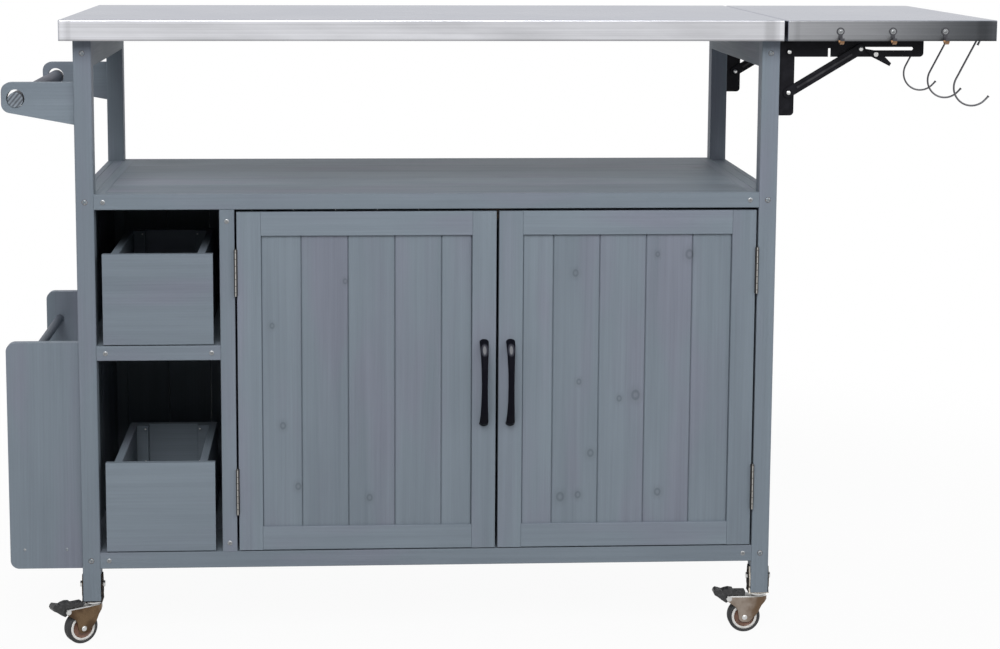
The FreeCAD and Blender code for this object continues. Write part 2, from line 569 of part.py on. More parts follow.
def build_bin(name, bottom):
    """An open wooden bin: front, sides, back, base and two corner cleats."""
    x = (f"({INNER_LEFT} + bin_side_gap)", f"({POST_LEFT} - bin_side_gap)")
    y = (f"({FRONT} + bin_setback)", f"({FRONT} + bin_setback + bin_depth)")
    z = (f"({bottom} + bin_foot_gap)", f"({bottom} + bin_front_gap + bin_height)")
    inner_y = (f"({y[0]} + bin_wood)", f"({y[1]} - bin_wood)")
    outer_x = (f"({x[0]} + bin_side_inset)", f"({x[1]} - bin_side_inset)")
    inner_x = (f"({outer_x[0]} + bin_wood)", f"({outer_x[1]} - bin_wood)")
    above_base = (f"({z[0]} + bin_base)", z[1])
    node(group(name, [
        timber(f"{name}_front", x, (y[0], inner_y[0]), (f"{bottom} + bin_front_gap", z[1]), "x"),
        timber(f"{name}_side_left", (outer_x[0], inner_x[0]), (inner_y[0], y[1]), z, "y"),
        timber(f"{name}_side_right", (inner_x[1], outer_x[1]), (inner_y[0], y[1]), z, "y"),
        timber(f"{name}_back", inner_x, (inner_y[1], y[1]), z, "x"),
        box(f"{name}_base", inner_x, inner_y, (z[0], above_base[0])),
        timber(f"{name}_cleat_left", (inner_x[0], f"{inner_x[0]} + bin_cleat"),
               (f"{inner_y[1]} - bin_wood", inner_y[1]), above_base, "z"),
        timber(f"{name}_cleat_right", (f"{inner_x[1]} - bin_cleat", inner_x[1]),
               (f"{inner_y[1]} - bin_wood", inner_y[1]), above_base, "z"),
    ]))


def build_towel_holder():
    """Two bracket boards with oversize holes, and the loose rod that lies in them."""
    hole_x = f"({LEG_LEFT} - towel_reach + towel_hole_back)"
    hole_z = f"({TOWEL_TOP} - towel_hole_drop)"
    plates = []
    for place, middle in {"front": LEG_MIDDLE_FRONT, "rear": LEG_MIDDLE_BACK}.items():
        body = prism(f"towel_board_{place}", "XZ_Plane",
                     [("towel_reach", 0), ("towel_reach", "towel_root"), (0, "towel_root"),
                      (0, "towel_root - towel_nose")],
                     "bracket_board", (f"{LEG_LEFT} - towel_reach", f"{middle} - bracket_board / 2",
                                       f"{TOWEL_TOP} - towel_root"))
        round_corners(body, (2, 3), "towel_corner")
        hole = rod(f"towel_hole_{place}", (hole_x, f"{middle} - bracket_board / 2", hole_z),
                   "towel_hole_radius", "bracket_board", "y")
        plates.append(cut(f"towel_bracket_{place}", body, [hole]))
    node(group("towel_brackets", plates))
    ends = (f"({LEG_MIDDLE_FRONT} - bracket_board / 2 - towel_rod_proud)",
            f"({LEG_MIDDLE_BACK} + bracket_board / 2 + towel_rod_proud)")
    rod_z = f"{hole_z} - towel_hole_radius + towel_rod_radius + towel_rod_rest"
    node(rod("towel_rod", (hole_x, ends[0], rod_z), "towel_rod_radius", f"{ends[1]} - {ends[0]}", "y"))


def build_side_rack():
    """The rack on the left-hand legs: two tall boards, a base board and a rod across the top."""
    plates = []
    rod_x = f"({LEG_LEFT} - rack_reach + rack_rod_back)"
    rod_z = "(rack_top - rack_rod_drop)"
    inner = (f"({LEG_MIDDLE_FRONT} + bracket_board / 2)", f"({LEG_MIDDLE_BACK} - bracket_board / 2)")
    socket_starts = {"front": (f"{inner[0]} - bracket_board", f"{inner[0]} - rack_rod_socket"),
                     "rear": (inner[1], inner[1])}
    for place, (start, socket) in socket_starts.items():
        body = prism(f"rack_board_{place}", "XZ_Plane",
                     [("rack_reach", 0), ("rack_reach", "rack_top - rack_bottom"),
                      (0, "rack_top - rack_bottom"), (0, 0)],
                     "bracket_board", (f"{LEG_LEFT} - rack_reach", start, "rack_bottom"))
        round_corners(body, (2, 3), "rack_corner")
        hole = rod(f"rack_socket_{place}", (rod_x, socket, rod_z), "rack_rod_radius + running_clearance",
                   "rack_rod_socket", "y")
        plates.append(cut(f"rack_plate_{place}", body, [hole]))
    node(group("rack_plates", plates))
    node(timber("rack_base", (f"{LEG_LEFT} - rack_reach + rack_base_inset",
                              f"{LEG_LEFT} - rack_reach + rack_base_inset + rack_base_width"),
                inner, ("rack_bottom + rack_base_drop - board_thickness / 2",
                        "rack_bottom + rack_base_drop + board_thickness / 2"), "y"))
    node(rod("rack_rod", (rod_x, f"{inner[0]} - rack_rod_socket", rod_z), "rack_rod_radius",
             f"{inner[1]} - {inner[0]} + 2 * rack_rod_socket", "y"))


def build_leaf():
    """The folding leaf: a steel pan over a board, level with the worktop."""
    x = (LEAF_LEFT, LEAF_RIGHT)
    skin = pan("leaf", x)
    skin.Label = "leaf_skin"
    node(skin)
    node(box("leaf_core", (f"{x[0]} + sheet", f"{x[1]} - sheet"),
             (f"{TOP_FRONT} + sheet", f"{TOP_BACK} - sheet"), (CORE_UNDERSIDE, "top_height - sheet")))


def wall_plate(name, middle):
    """The steel angle of one folding bracket on the leg, with its two rivets."""
    face = f"({middle} - bracket_offset)"
    top = "(top_height - wall_plate_drop)"
    angle = [(0, 0), ("wall_plate_reach", 0), ("wall_plate_reach", "wall_plate_height"),
             (0, "wall_plate_height")]
    web = prism(f"{name}_web", "XZ_Plane", angle, "wall_plate_steel",
                (LEG_RIGHT, face, f"{top} - wall_plate_height"))
    round_corners(web, (1, 2), "wall_plate_corner")
    flange = box(f"{name}_flange", (LEG_RIGHT, f"{LEG_RIGHT} + wall_plate_steel"),
                 (face, f"{face} + wall_plate_depth"), (f"{top} - wall_plate_height", top))
    arm_back = f"({face} + 2 * wall_plate_steel + layer_gap)"
    strut_front = f"({face} - layer_gap - strut_thickness)"
    strut_z = f"({PIVOT_Z} - strut_drop)"
    arm_head = (PIVOT_X, f"{face} - rivet_crown", PIVOT_Z)
    strut_head = (PIVOT_X, f"{strut_front} - layer_gap - rivet_crown", strut_z)
    rivets = [
        rod(f"{name}_arm_rivet", arm_head, "rivet_radius",
            f"{arm_back} + layer_gap - {face} + rivet_crown", "y"),
        bar(f"{name}_arm_head", arm_head, "rivet_head", "rivet_crown", SCREW_SIDES, "y", CART),
        bar(f"{name}_arm_tail", (PIVOT_X, f"{arm_back} + layer_gap", PIVOT_Z), "rivet_head",
            "rivet_crown", SCREW_SIDES, "y", CART),
        rod(f"{name}_strut_rivet", (PIVOT_X, f"{strut_front} - layer_gap", strut_z), "rivet_radius",
            f"{face} - {strut_front} + layer_gap", "y"),
        bar(f"{name}_strut_head", strut_head, "rivet_head", "rivet_crown", SCREW_SIDES, "y", CART),
    ]
    return fuse(name, [web, flange, *rivets])


def bracket_arm(name, middle):
    """The arm of one folding bracket: an angle under the leaf, slotted for the strut's pin."""
    face = f"({middle} - bracket_offset + wall_plate_steel + layer_gap)"
    low = f"({PIVOT_Z} - arm_below)"
    height = f"({CORE_UNDERSIDE} - {low})"
    profile = [(0, 0), ("arm_tail + arm_length", 0), ("arm_tail + arm_length", height), (0, height)]
    web = prism(f"{name}_web", "XZ_Plane", profile, "wall_plate_steel",
                (f"{PIVOT_X} - arm_tail", face, low))
    round_corners(web, (0, 1, 3), "arm_corner")
    flange = box(f"{name}_flange", (f"{PIVOT_X} + pivot_reach", f"{PIVOT_X} + arm_length"),
                 (face, f"{face} + arm_flange"), (f"{CORE_UNDERSIDE} - wall_plate_steel", CORE_UNDERSIDE))
    angle = fuse(f"{name}_angle", [web, flange])
    slot_z = f"({PIVOT_Z} + slot_rise)"
    ends = (f"{PIVOT_X} + slot_start", f"{PIVOT_X} + slot_end")
    cutters = [
        rod(f"{name}_pivot_bore", (PIVOT_X, face, PIVOT_Z), "rivet_radius + running_clearance",
            "wall_plate_steel", "y"),
        rod(f"{name}_slot_start", (ends[0], face, slot_z), "slot_height / 2", "wall_plate_steel", "y"),
        rod(f"{name}_slot_end", (ends[1], face, slot_z), "slot_height / 2", "wall_plate_steel", "y"),
        box(f"{name}_slot", ends, (face, f"{face} + wall_plate_steel"),
            (f"{slot_z} - slot_height / 2", f"{slot_z} + slot_height / 2")),
        box(f"{name}_notch", (f"{PIVOT_X} + notch_reach", f"{PIVOT_X} + notch_reach + notch_width"),
            (face, f"{face} + wall_plate_steel"), (low, f"{low} + notch_depth")),
    ]
    lever_pin = rod(f"{name}_lever_pin", (f"{PIVOT_X} + lever_reach",
                                          f"{face} - layer_gap - lever_thickness",
                                          f"{PIVOT_Z} - lever_drop"),
                    "rivet_radius", "lever_thickness + layer_gap", "y")
    return fuse(name, [cut(f"{name}_slotted", angle, cutters), lever_pin])


def bracket_strut(name, middle):
    """The strut of one folding bracket, from the lower rivet up to its pin at the slot."""
    face = f"({middle} - bracket_offset - layer_gap - strut_thickness)"
    rise = "(strut_drop + strut_pin_rise)"
    span = f"sqrt(strut_pin_reach ^ 2 + {rise} ^ 2)"
    place = (PIVOT_X, face, f"{PIVOT_Z} - strut_drop")
    low, high, far = "(0 - strut_width / 2)", "strut_width / 2", f"({span} + strut_width / 2)"
    strip = prism(f"{name}_strip", "XZ_Plane", [(low, low), (far, low), (far, high), (low, high)],
                  "strut_thickness", ("0", "0", "0"), LOCAL)
    round_corners(strip, range(4), "strut_width / 2 - layer_gap")
    rib = box(f"{name}_rib", ("strut_width", f"{span} - strut_width"), ("0 - strut_rib", "0"),
              ("0 - strut_rib_width / 2", "strut_rib_width / 2"), LOCAL)
    head = bar(f"{name}_head", (span, "0 - rivet_crown", "0"), "rivet_head", "rivet_crown",
               SCREW_SIDES, "y")
    bore = rod(f"{name}_bore", ("0", "0", "0"), "rivet_radius + running_clearance", "strut_thickness",
               "y", LOCAL)
    strut = cut(name, fuse(f"{name}_solid", [strip, rib, head]), [bore])
    strut.Placement = FreeCAD.Placement(FreeCAD.Vector(), FreeCAD.Rotation(FreeCAD.Vector(0, -1, 0), 1))
    seat(strut, place)
    strut.setExpression("Placement.Rotation.Angle", bound(f"atan2({rise}; strut_pin_reach)"))
    return strut


def bracket_lever(name, middle):
    """The release lever of one folding bracket: a finger plate that dips below the arm."""
    face = f"({middle} - bracket_offset)"
    place = (f"{PIVOT_X} + lever_reach", face, f"{PIVOT_Z} - lever_drop")
    tail, tip = "lever_tail", "lever_blade"
    corners = [(f"0 - {tail}", f"{tail} / 2"), (f"0 - {tail} / 3", "lever_drop * 1.6"),
               (f"{tip} / 3", "lever_drop"), (f"{tip} * 0.62", "0 - lever_drop"),
               (tip, "0 - lever_drop * 3"), (f"{tip} * 0.9", "0 - lever_drop * 4"),
               (f"{tip} / 6", "0 - lever_drop * 2"), (f"0 - {tail} * 0.4", "0 - lever_drop * 0.75")]
    blade = prism(f"{name}_blade", "XZ_Plane", corners, "lever_thickness", ("0", "0", "0"), LOCAL)
    bore = rod(f"{name}_bore", ("0", "0", "0"), "rivet_radius + running_clearance", "lever_thickness",
               "y", LOCAL)
    return seat(cut(name, blade, [bore]), place)


def build_brackets():
    """Two folding brackets, one on each right-hand leg, of the same hand."""
    middles = {"front": LEG_MIDDLE_FRONT, "rear": LEG_MIDDLE_BACK}
    node(group("bracket_wall_plates",
               [wall_plate(f"wall_plate_{place}", y) for place, y in middles.items()]))
    node(group("bracket_arms",
               [bracket_arm(f"bracket_arm_{place}", y) for place, y in middles.items()]))
    for place, y in middles.items():
        node(bracket_strut(f"bracket_strut_{place}", y))
        node(bracket_lever(f"bracket_lever_{place}", y))


def hanging_plate(name, x, y, turn):
    """A keyhole-shaped steel plate on the leaf's lip, its foot bent out and up into a trough."""
    head_z, trough_z = "(0 - plate_head_drop)", "(0 - plate_trough_drop)"
    neck = ("0 - plate_neck / 2", "plate_neck / 2")
    stretch = 1 / math.cos(math.pi / TROUGH_STEPS / 2)
    turns = [f"(({i} + 0.5) * 180 deg / {TROUGH_STEPS})" for i in range(TROUGH_STEPS)]

    def around(radius, angle):
        radius = f"{radius} * {stretch}"
        return f"{radius} * cos({angle}) - {TROUGH_OUT}", f"0 - {radius} * sin({angle})"

    outside = [around(TROUGH_OUT, angle) for angle in turns]
    inside = [around("plate_trough", angle) for angle in reversed(turns)]
    tip_out, tip_in = f"0 - 2 * {TROUGH_OUT}", f"0 - {TROUGH_OUT} - plate_trough"
    corners = [(0, "plate_trough_drop - plate_head_drop"), (0, 0), *outside, (tip_out, 0),
               (tip_out, "plate_tip"), (tip_in, "plate_tip"), (tip_in, 0), *inside,
               ("0 - plate_steel", 0), ("0 - plate_steel", "plate_trough_drop - plate_head_drop")]
    plate = fuse(name, [
        bar(f"{name}_head", ("0", "0 - plate_steel", head_z), "plate_head_radius", "plate_steel",
            RACE_SIDES, "y"),
        prism(f"{name}_strip", "YZ_Plane", corners, "plate_neck", (neck[0], "0", trough_z), LOCAL),
    ])
    turn_about(plate, (0, 0, 1), turn)
    return seat(plate, (x, y, "top_height"))


def hanging_hook(name, y):
    """A round-wire S-hook, twisted a quarter turn so that its lower bend faces the leaf's end."""
    wire = "hook_wire / 2"
    shank_foot = "(0 - hook_loop - hook_shank)"
    loop, bend = [], []
    for i in range(HOOK_LOOP_STEPS + 1):
        turn = f"({i} * 180 deg / {HOOK_LOOP_STEPS})"
        place = ("0", f"0 - hook_loop * cos({turn})", f"hook_loop * sin({turn}) - hook_loop")
        loop.append(ring_of_sides(f"{name}_loop_{i}", place, wire, WIRE_SIDES, (1, 0, 0), f"-1 * {turn}"))
    for i in range(HOOK_BEND_STEPS + 1):
        turn = f"({i} * hook_sweep * 1 deg / {HOOK_BEND_STEPS})"
        place = (f"hook_bend - hook_bend * cos({turn})", "hook_loop",
                 f"{shank_foot} - hook_bend * sin({turn})")
        bend.append(ring_of_sides(f"{name}_bend_{i}", place, wire, WIRE_SIDES, (0, 1, 0), f"-1 * {turn}"))
    hook = fuse(name, [
        bar(f"{name}_tail", ("0", "0 - hook_loop", "0 - hook_loop - hook_tail"), wire, "hook_tail",
            WIRE_SIDES),
        lofted(f"{name}_loop", loop),
        bar(f"{name}_shank", ("0", "hook_loop", shank_foot), wire, "hook_shank", WIRE_SIDES),
        lofted(f"{name}_bend", bend),
    ])
    turn_about(hook, (0, 1, 0), "hook_lean * 1 deg")
    return seat(hook, (f"{LEAF_RIGHT} + {TROUGH_OUT}", y, f"{TROUGH_Z} - {HOOK_RISE}"))


def build_hooks():
    """Six hanging plates on the leaf's front lip and end, and the three hooks in the end ones."""
    fronts = [hanging_plate(f"front_hanger_{i}", f"{LEAF_LEFT} + leaf_length * {i} / 4", TOP_FRONT, 0)
              for i in (1, 2, 3)]
    rows = {"front": f"({TOP_FRONT} + {TOP_BACK}) / 2 - hook_pitch",
            "middle": f"({TOP_FRONT} + {TOP_BACK}) / 2",
            "rear": f"({TOP_FRONT} + {TOP_BACK}) / 2 + hook_pitch"}
    ends = [hanging_plate(f"end_hanger_{place}", LEAF_RIGHT, y, 90) for place, y in rows.items()]
    node(group("hanging_plates", fronts + ends))
    for place, y in rows.items():
        node(hanging_hook(f"hook_{place}", y))


def castor_clamp(name, x, y):
    """The steel strap that grips a leg's foot, its cross bolt, and the swivel's race and kingpin."""
    across = ("0 - leg_width / 2 - clamp_steel", "leg_width / 2 + clamp_steel")
    bottom = "(leg_foot - clamp_steel)"
    half_widths = [("clamp_foot", 0), ("clamp_waist", "clamp_foot / 3"), ("clamp_depth", "clamp_depth / 2"),
                   ("clamp_depth", "clamp_depth"), ("clamp_top", "clamp_height")]
    web = [(f"{width} / 2", height) for width, height in half_widths]
    web += [(f"0 - {width} / 2", height) for width, height in reversed(half_widths)]
    block = prism(f"{name}_block", "YZ_Plane", web, "leg_width + 2 * clamp_steel",
                  (across[0], "0", bottom), LOCAL)
    strap = cut(f"{name}_strap", block, [
        box(f"{name}_foot_space", ("0 - leg_width / 2", "leg_width / 2"),
            ("0 - clamp_depth / 2", "clamp_depth / 2"), ("leg_foot", f"{bottom} + clamp_height"), LOCAL),
        rod(f"{name}_bolt_way", (across[0], "0", BOLT_HEIGHT), "clamp_bolt_radius + running_clearance",
            "leg_width + 2 * clamp_steel", "x", LOCAL)])
    head_start = (f"{across[0]} - bolt_head_height", "0", BOLT_HEIGHT)
    bolt = fuse(f"{name}_bolt", [
        rod(f"{name}_shank", head_start, "clamp_bolt_radius",
            "leg_width + 2 * clamp_steel + 2 * bolt_head_height", "x", LOCAL),
        bar(f"{name}_bolt_head", head_start, "bolt_head_radius", "bolt_head_height", 6, "x"),
        bar(f"{name}_nut", (across[1], "0", BOLT_HEIGHT), "bolt_head_radius", "bolt_head_height", 6, "x"),
    ])
    race = f"({bottom} - race_thickness)"
    pin_foot = "(fork_top - fork_steel - layer_gap)"
    swivel = fuse(f"{name}_swivel", [
        bar(f"{name}_race", ("0", "0", race), "race_radius", "race_thickness", RACE_SIDES),
        bar(f"{name}_race_neck", ("0", "0", "fork_top + layer_gap"), "race_neck_radius",
            f"{race} - fork_top - layer_gap", RACE_SIDES),
        rod(f"{name}_kingpin", ("0", "0", pin_foot), "kingpin_radius", f"{race} - {pin_foot}", "z", LOCAL),
        bar(f"{name}_kingpin_head", ("0", "0", f"{pin_foot} - rivet_crown"), "kingpin_head", "rivet_crown",
            SCREW_SIDES),
    ])
    return seat(group(name, [strap, bolt, swivel]), (x, y, "0"))


def fork_plan(half_width, nose):
    """The fork's outline seen from above: two straight cheeks that close in a rounded nose."""
    tail = "(0 - pedal_pivot_back - fork_lug_radius)"
    stations = [(tail, 1), ("0 - castor_trail / 2", 1), (f"{nose} / 3", 0.87), (f"{nose} * 0.76", 0.56),
                (nose, 0.2)]
    near = [(x, f"0 - {half_width} * {share}") for x, share in stations]
    far = [(x, f"{half_width} * {share}") for x, share in reversed(stations)]
    return near + far


def castor_fork(name):
    """The pressed fork: a hood with a rounded nose, two cheeks that narrow to the axle, and the pins."""
    inner, outer = "(fork_gap / 2)", "(fork_gap / 2 + fork_steel)"
    foot = "(wheel_radius - fork_foot_radius)"
    back, lug, pin = "pedal_pivot_back", "fork_lug_radius", "pedal_pivot_height"
    hood = prism(f"{name}_hood", "XY_Plane", fork_plan(outer, "fork_nose"), f"fork_top - {foot}",
                 ("0", "0", foot), LOCAL)
    ease_rim(hood, "PartDesign::Chamfer", "Size", "fork_edge")
    hollow = prism(f"{name}_hollow", "XY_Plane", fork_plan(inner, "(fork_nose - fork_steel)"),
                   f"fork_top - fork_steel - {foot}", ("0", "0", foot), LOCAL)
    open_back = box(f"{name}_open_back", (f"0 - {back} - {lug}", "0 - fork_roof"), (f"0 - {inner}", inner),
                    (foot, "fork_top"), LOCAL)
    king_bore = rod(f"{name}_king_bore", ("0", "0", "fork_top - fork_steel"),
                    "kingpin_radius + running_clearance", "fork_steel", "z", LOCAL)
    shell = cut(f"{name}_shell", hood, [hollow, open_back, king_bore])
    cheek = prism(f"{name}_cheek", "XZ_Plane", [
        ("0 - castor_trail - fork_foot_radius", foot), ("0 - castor_trail + fork_foot_radius", foot),
        ("0", f"{foot} + fork_foot_radius * 2"), ("fork_nose / 3", "fork_top - wheel_radius * 0.64"),
        ("fork_nose", "fork_top - fork_foot_radius"), ("fork_nose", "fork_top"),
        (f"0 - {back} - {lug} / 2", "fork_top"), (f"0 - {back} - {lug}", pin),
        (f"0 - {back} - {lug} / 2", f"{pin} - {lug} * 0.9"),
        ("0 - castor_trail * 5 / 3", "fork_top - wheel_radius * 0.68"),
        ("0 - castor_trail * 3 / 2", "fork_top - wheel_radius * 0.9"),
    ], f"2 * {outer}", ("0", f"0 - {outer}", "0"), LOCAL)
    round_corners(cheek, (0, 1), "fork_foot_radius - layer_gap")
    pins = []
    spots = {"axle": ("0 - castor_trail", "wheel_radius", "axle_radius"),
             "pedal_pin": (f"0 - {back}", pin, "rivet_radius")}
    for spot, (x, z, radius) in spots.items():
        pins.append(rod(f"{name}_{spot}", (x, f"0 - {outer} - rivet_crown", z), radius,
                        f"2 * ({outer} + rivet_crown)", "y", LOCAL))
        for side, start in {"near": f"0 - {outer} - rivet_crown", "far": outer}.items():
            pins.append(bar(f"{name}_{spot}_{side}", (x, start, z), "rivet_head", "rivet_crown",
                            SCREW_SIDES, "y"))
    return fuse(name, [overlap(f"{name}_pressing", shell, cheek), *pins])


def castor_wheel(name):
    """A rubber tyre with bevelled edges on a dished plastic hub that turns on the axle."""
    half, hub_half = "(wheel_width / 2)", "(hub_width / 2)"
    axle = ("0 - castor_trail", "wheel_radius")
    stations = [(f"0 - {half}", "wheel_radius - tread_bevel"), (f"tread_bevel - {half}", "wheel_radius"),
                (f"{half} - tread_bevel", "wheel_radius"), (half, "wheel_radius - tread_bevel")]
    rings = [ring_of_sides(f"{name}_ring_{i}", (axle[0], y, axle[1]), radius, WHEEL_SIDES, (1, 0, 0),
                           "-90") for i, (y, radius) in enumerate(stations)]

    def disc(part, low, high, radius):
        return bar(f"{name}_{part}", (axle[0], low, axle[1]), radius, f"{high} - {low}",
                   WHEEL_SIDES, "y")

    rim = (f"(hub_dish / 2 - {half})", f"({half} - hub_dish / 2)")
    tyre = cut(f"{name}_tyre", lofted(f"{name}_tread", rings),
               [disc("hub_space", f"(0 - {half})", half, "hub_radius")])
    web = cut(f"{name}_web", disc("hub_disc", *rim, "hub_radius"),
              [disc("dish_near", rim[0], f"{rim[0]} + hub_dish", "hub_dish_radius"),
               disc("dish_far", f"({rim[1]} - hub_dish)", rim[1], "hub_dish_radius")])
    boss = disc("boss", f"(0 - {hub_half})", hub_half, "hub_boss_radius")
    bore = rod(f"{name}_bore", (axle[0], f"0 - {hub_half}", axle[1]), "axle_radius + running_clearance",
               "hub_width", "y", LOCAL)
    return group(name, [tyre, cut(f"{name}_hub", fuse(f"{name}_core", [web, boss]), [bore])])


def castor_pedal(name):
    """The moulded brake pedal, which rocks on a pin through the fork's cheeks."""
    hump, plate, tail = "pedal_hump", "pedal_plate", "pedal_tail"
    over_fork = "(fork_top + layer_gap * 2 - pedal_pivot_height)"
    front = [("pedal_arm", over_fork), ("pedal_arm", f"{over_fork} + {plate}"),
             (f"{hump} * 0.6", f"{over_fork} + {plate}"), (f"{hump} * 0.46", f"{hump} * 0.93")]
    top = [(0, hump), (f"0 - {plate}", f"{hump} * 0.9"), (f"0 - {hump} * 0.7", f"{hump} * 0.8"),
           (f"{plate} * 0.6 - {tail}", hump), (f"{plate} * 0.2 - {tail}", f"{hump} * 0.85")]
    back = [(f"0 - {tail}", f"{hump} * 0.6"), (f"{plate} * 0.3 - {tail}", f"{plate} * 0.7"),
            (f"{plate} - {tail}", f"{plate} * 0.3"), (f"{plate} * 2 - {tail}", f"0 - {plate} / 2")]
    belly = [(f"0 - {plate} * 0.6", f"0 - {plate} * 1.2"), (f"{plate} * 0.8", f"0 - {plate} * 0.3"),
             (f"{plate} * 1.4", over_fork)]
    pin = ("0 - pedal_pivot_back", "0 - pedal_width / 2", "pedal_pivot_height")
    blade = prism(f"{name}_blade", "XZ_Plane", front + top + back + belly, "pedal_width", pin, LOCAL)
    bore = rod(f"{name}_bore", pin, "rivet_radius + running_clearance", "pedal_width", "y", LOCAL)
    return cut(name, blade, [bore])


def build_castors():
    """Four swivel castors with brake pedals, each turned its own way about its leg."""
    corners = {
        "front_left": (f"{LEG_LEFT} + leg_width / 2", LEG_MIDDLE_FRONT),
        "front_right": (f"{LEG_RIGHT} - leg_width / 2", LEG_MIDDLE_FRONT),
        "rear_left": (f"{LEG_LEFT} + leg_width / 2", LEG_MIDDLE_BACK),
        "rear_right": (f"{LEG_RIGHT} - leg_width / 2", LEG_MIDDLE_BACK),
    }
    node(group("castor_clamps", [castor_clamp(f"castor_clamp_{corner}", x, y)
                                 for corner, (x, y) in corners.items()]))
    for corner, (x, y) in corners.items():
        for make, name in ((castor_fork, "fork"), (castor_wheel, "wheel"), (castor_pedal, "pedal")):
            piece = make(f"castor_{corner}_{name}")
            turn_about(piece, (0, 0, 1), f"turn_{corner} * 1 deg")
            node(seat(piece, (x, y, "0")))


def build_screws():
    """The round screw heads that show on the front of the frame."""
    z_of = {"top": "(top_height - screw_drop)",
            "shelf": f"({SHELF_RAIL_UNDERSIDE} + shelf_rail_height / 2)",
            "base": f"({BASE_UNDERSIDE} + base_rail_height / 2)"}
    left, right = f"({LEG_LEFT} + leg_width / 2)", f"({LEG_RIGHT} - leg_width / 2)"
    rail_inset = "leg_width / 2"
    spots = [(x, z) for x in (left, right) for z in z_of.values()]
    spots += [(x, z_of[level]) for level in ("shelf", "base")
              for x in (f"({INNER_LEFT} + {rail_inset})", f"({INNER_RIGHT} - {rail_inset})")]
    spots += [(f"({POST_LEFT} + post_width / 2)", z)
              for z in (f"({SHELF_RAIL_UNDERSIDE} - leg_width * 2 / 3)", "(base_height + leg_width / 2)")]
    spots += [(x, "(cubby_height - cubby_rail_height / 2)")
              for x in (f"({INNER_LEFT} + {rail_inset})", f"({POST_LEFT} - {rail_inset})")]
    node(group("screw_heads", [
        bar(f"screw_head_{i}", (x, f"{FRONT} - screw_head_height", z), "screw_head_radius",
            "screw_head_height", SCREW_SIDES, "y", CART)
        for i, (x, z) in enumerate(spots)]))


build_worktop()
build_legs()
build_rails()
build_decks()
build_walls()
build_cubby_shelf()
build_door("door_left", LEFT_DOOR_EDGE, 1)
build_door("door_right", RIGHT_DOOR_EDGE, -1)
build_door_hardware()
build_bin("bin_lower", "base_height")
build_bin("bin_upper", "cubby_height")
build_towel_holder()
build_side_rack()
build_leaf()
build_brackets()
build_hooks()
build_castors()
build_screws()
doc.recompute()

faults = [item.Label for item in doc.Objects if {"Invalid", "Error"} & set(item.State)]
faults += [piece.Label for piece in nodes if piece.Shape.isNull() or not piece.Shape.isValid()]
if faults:
    raise RuntimeError(f"these pieces did not build: {sorted(set(faults))}")
os.makedirs("parts", exist_ok=True)
for piece in nodes:
    piece.Shape.exportStep(f"parts/{piece.Label}.step")
print(len(nodes), "sub-parts written")
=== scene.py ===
"""Grill cart with storage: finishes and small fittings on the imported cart, in a pale studio.

Lengths are in metres in the cart's own frame: +X toward the folding leaf, +Y from the doors to the
back, +Z up, with the origin on the floor under the middle of the cart. The timber is one solid
pattern of growth rings, fibres and knots, cut by whatever board it is on.
"""
import functools
import json
import logging
import math
from dataclasses import dataclass, field, replace
from enum import Enum
from typing import Callable, Protocol, Sequence

import bmesh
import bpy
import numpy as np
from mathutils import Matrix, Vector


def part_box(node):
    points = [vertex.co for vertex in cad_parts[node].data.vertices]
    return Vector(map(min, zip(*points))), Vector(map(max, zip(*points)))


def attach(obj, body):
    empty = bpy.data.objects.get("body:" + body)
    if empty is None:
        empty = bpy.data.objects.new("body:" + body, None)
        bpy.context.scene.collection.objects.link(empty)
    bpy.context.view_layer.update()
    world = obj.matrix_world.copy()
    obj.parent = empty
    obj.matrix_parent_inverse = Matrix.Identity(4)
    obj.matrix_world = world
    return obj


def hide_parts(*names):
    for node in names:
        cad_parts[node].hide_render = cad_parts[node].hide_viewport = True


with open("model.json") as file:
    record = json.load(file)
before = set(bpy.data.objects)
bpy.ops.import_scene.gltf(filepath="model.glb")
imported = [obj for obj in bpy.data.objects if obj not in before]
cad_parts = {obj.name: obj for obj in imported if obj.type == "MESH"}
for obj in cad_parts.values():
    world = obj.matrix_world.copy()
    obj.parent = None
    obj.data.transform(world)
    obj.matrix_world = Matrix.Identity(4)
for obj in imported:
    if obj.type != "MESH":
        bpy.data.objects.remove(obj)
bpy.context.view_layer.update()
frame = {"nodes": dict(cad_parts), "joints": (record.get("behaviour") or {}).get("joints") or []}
LOG = logging.getLogger("grill_cart")
MM = 0.001
SLACK = 0.1 * MM
FORWARD = np.array([0.0, -1.0, 0.0])
WHITE = (1.0, 1.0, 1.0, 1.0)
JOINTS = {joint["name"]: joint for joint in frame["joints"]}
Colour = tuple[float, float, float]
Form = tuple[np.ndarray, list[list[int]]]
Profile = Sequence[tuple[float, float]]
Chooser = Callable[[np.ndarray, np.ndarray], np.ndarray]


class Axis(Enum):
    """A direction of the cart's frame, by its place in a coordinate."""

    X = 0
    Y = 1
    Z = 2

    def others(self) -> tuple["Axis", "Axis"]:
        """The two directions square to this one."""
        first, second = (axis for axis in Axis if axis is not self)
        return first, second

    def unit(self) -> np.ndarray:
        """The direction as a vector."""
        return np.eye(3)[self.value]


